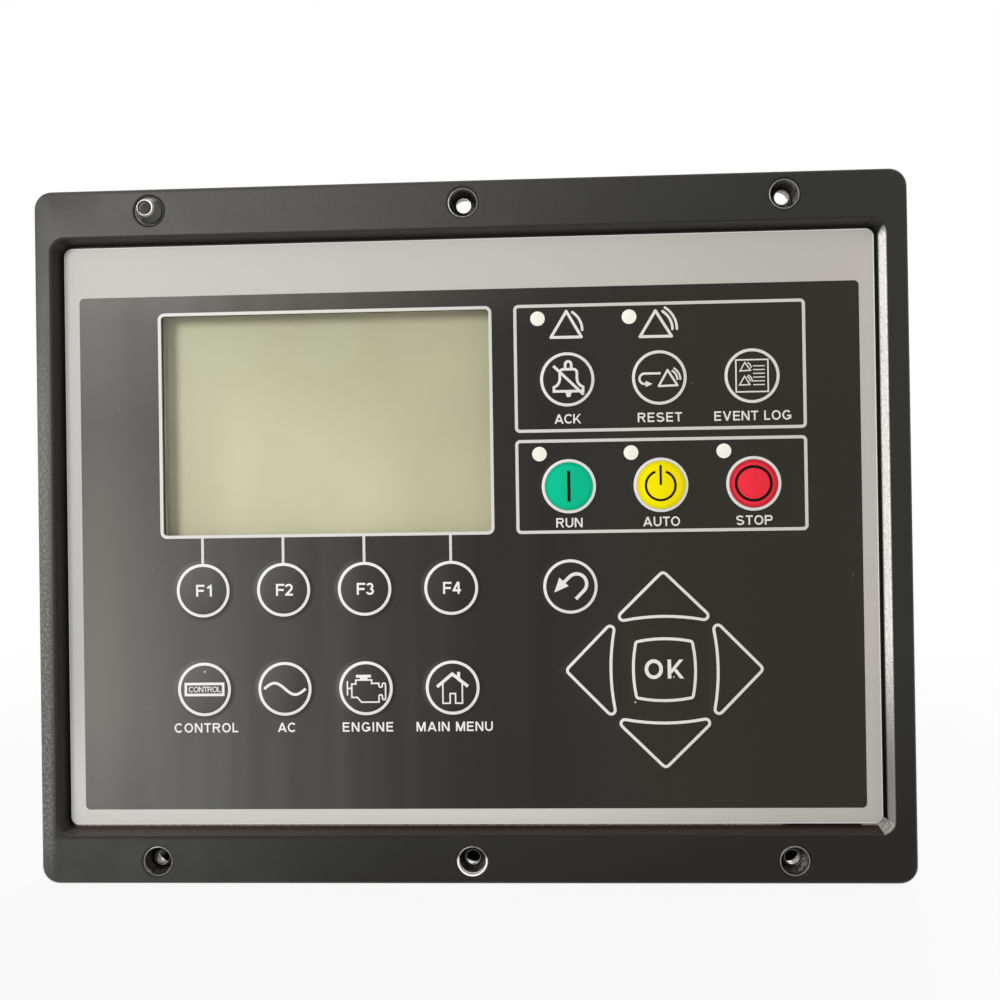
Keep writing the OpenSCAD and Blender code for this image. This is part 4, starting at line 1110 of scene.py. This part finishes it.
reset = (GROUPS[1], ALARM_KEYS)
draw(reset, [(0.5, 1.48), *curve(-5.1, -0.345, 1.8, 1.825, 90, 270, 12), (-4.6, -2.17)], 0.8)
fill(reset, [(-4.76, -1.09), (-4.76, -3.25), (-2.34, -2.17)])
triangle(reset, [(-0.24, -3.0), (6.26, -2.8), (2.9, 2.56)], 0.75)
draw(reset, curve(2.6, -0.9, 3.7, 3.7, 0, 62, 8), 0.7)
draw(reset, curve(2.6, -0.9, 4.75, 4.75, 0, 60, 8), 0.65)

log = (GROUPS[2], ALARM_KEYS)
draw(log, [(-5.53, -5.57), (5.53, -5.57), (5.53, 5.57), (-5.53, 5.57)], 0.5, True)
draw(log, [(-4.1, 1.72), (-0.5, 1.9), (-2.46, 4.66)], 0.42, True)
draw(log, curve(-2.75, 2.6, 2.5, 2.3, 2, 62, 6), 0.42)
draw(log, [(-4.35, -3.2), (-0.76, -3.08), (-2.6, -0.12)], 0.42, True)
draw(log, curve(-2.9, -2.1, 2.3, 2.1, 2, 62, 6), 0.4)
draw(log, curve(-2.9, -2.1, 3.0, 2.75, 2, 60, 6), 0.4)
for i in range(6):
    draw(log, [(0.35, 3.4 - 1.31 * i), (4.4, 3.4 - 1.31 * i)], 0.36)

# %% Menu keys
control, wave, engine, home = ((x, MENU_KEYS) for x in COLUMNS)
draw(control, [(-6.72, -1.95), (6.72, -1.95), (6.72, 1.95), (-6.72, 1.95)], 0.9, True)
draw(wave, [(x / 10, -2.05 * math.sin(math.pi * x / 74)) for x in range(-74, 75, 4)], 0.94)

fill(engine, [(-3.5, 3.75), (1.84, 3.75), (1.84, 4.75), (-3.5, 4.75)])
fill(engine, [(-2.1, 2.9), (0.56, 2.9), (0.56, 3.8), (-2.1, 3.8)])
draw(engine, [(2.05, 2.9), (-3.6, 2.9), (-3.6, 1.5), (-5.05, 1.5), (-5.05, -3.2),
              (-3.13, -3.2), (-1.6, -4.9), (4.6, -4.9),
              *curve(5.2, -2.9, 0.6, 0.6, 180, 0, 8), *curve(6.37, -3.5, 0.57, 0.57, 180, 360, 8),
              *curve(6.37, 1.2, 0.57, 0.57, 0, 180, 8), *curve(5.2, 0.9, 0.6, 0.6, 0, -180, 8),
              (4.6, 1.7), (2.05, 1.7)], 0.52, True)
draw(engine, [(-6.6, 2.57), (-6.6, -2.5)], 0.52)
draw(engine, [(-6.6, 0), (-5.05, 0)], 0.52)

draw(home, [(-5.5, 0.3), (-0.1, 4.8), (5.4, 0.4)], 1.1)
fill(home, [(1.65, 2.6), (2.7, 1.8), (2.7, 5.5), (1.65, 5.5)])
draw(home, [(-3.47, 1.6), (-3.47, -5.5), (-0.93, -5.5), (-0.93, -2.1), (0.97, -2.1),
            (0.97, -5.5), (3.4, -5.5), (3.4, 1.6)], 0.52)

back_key = (GROUPS[0], SOFT_ROW)
fill(back_key, [(-5.65, -2.05), (-0.6, 0.14), (-3.86, 3.15)])
draw(back_key, [(-2.2, 1.5), *curve(2.2, 0.9, 3.5, 3.5, 133, -45, 20), (1.84, -4.4)], 1.17)
ink("key_signs", symbols.values(), ring_ink, stands_for=("key_symbols",))

# %% [markdown]
# The coloured keys have black marks: a bar, the standby sign and a ring. They are printed like
# the white signs, but stop at the front of the key's own ink.

# %% Marks on the coloured keys
run, auto, stop = ((x, MODE_KEYS) for x in GROUPS)
draw(run, [(0, -5.4), (0, 5.4)], 1.1)
draw(auto, curve(-0.1, -0.2, 5.16, 5.16, 110, 428, 24), 0.83)
draw(auto, [(-0.05, 0), (-0.05, 6.9)], 0.8)
draw(stop, curve(0, 0, 6.1, 5.9, 0, 350, 35), 1.0, True)
mark_ink = Paint("key_marks_ink", colour(22, 20, 16), 0.42, Specular_IOR_Level=0.05)
mark_ink.bumps((mark_ink.noise(0.3, 2), 0.004), (raised_keys(mark_ink), 0.12))
marks = [symbols.pop(place) for place in (run, auto, stop)]
marks_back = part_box("key_marks")[1].y / MM
ink("black_marks", marks, mark_ink, ("key_marks",), marks_back)
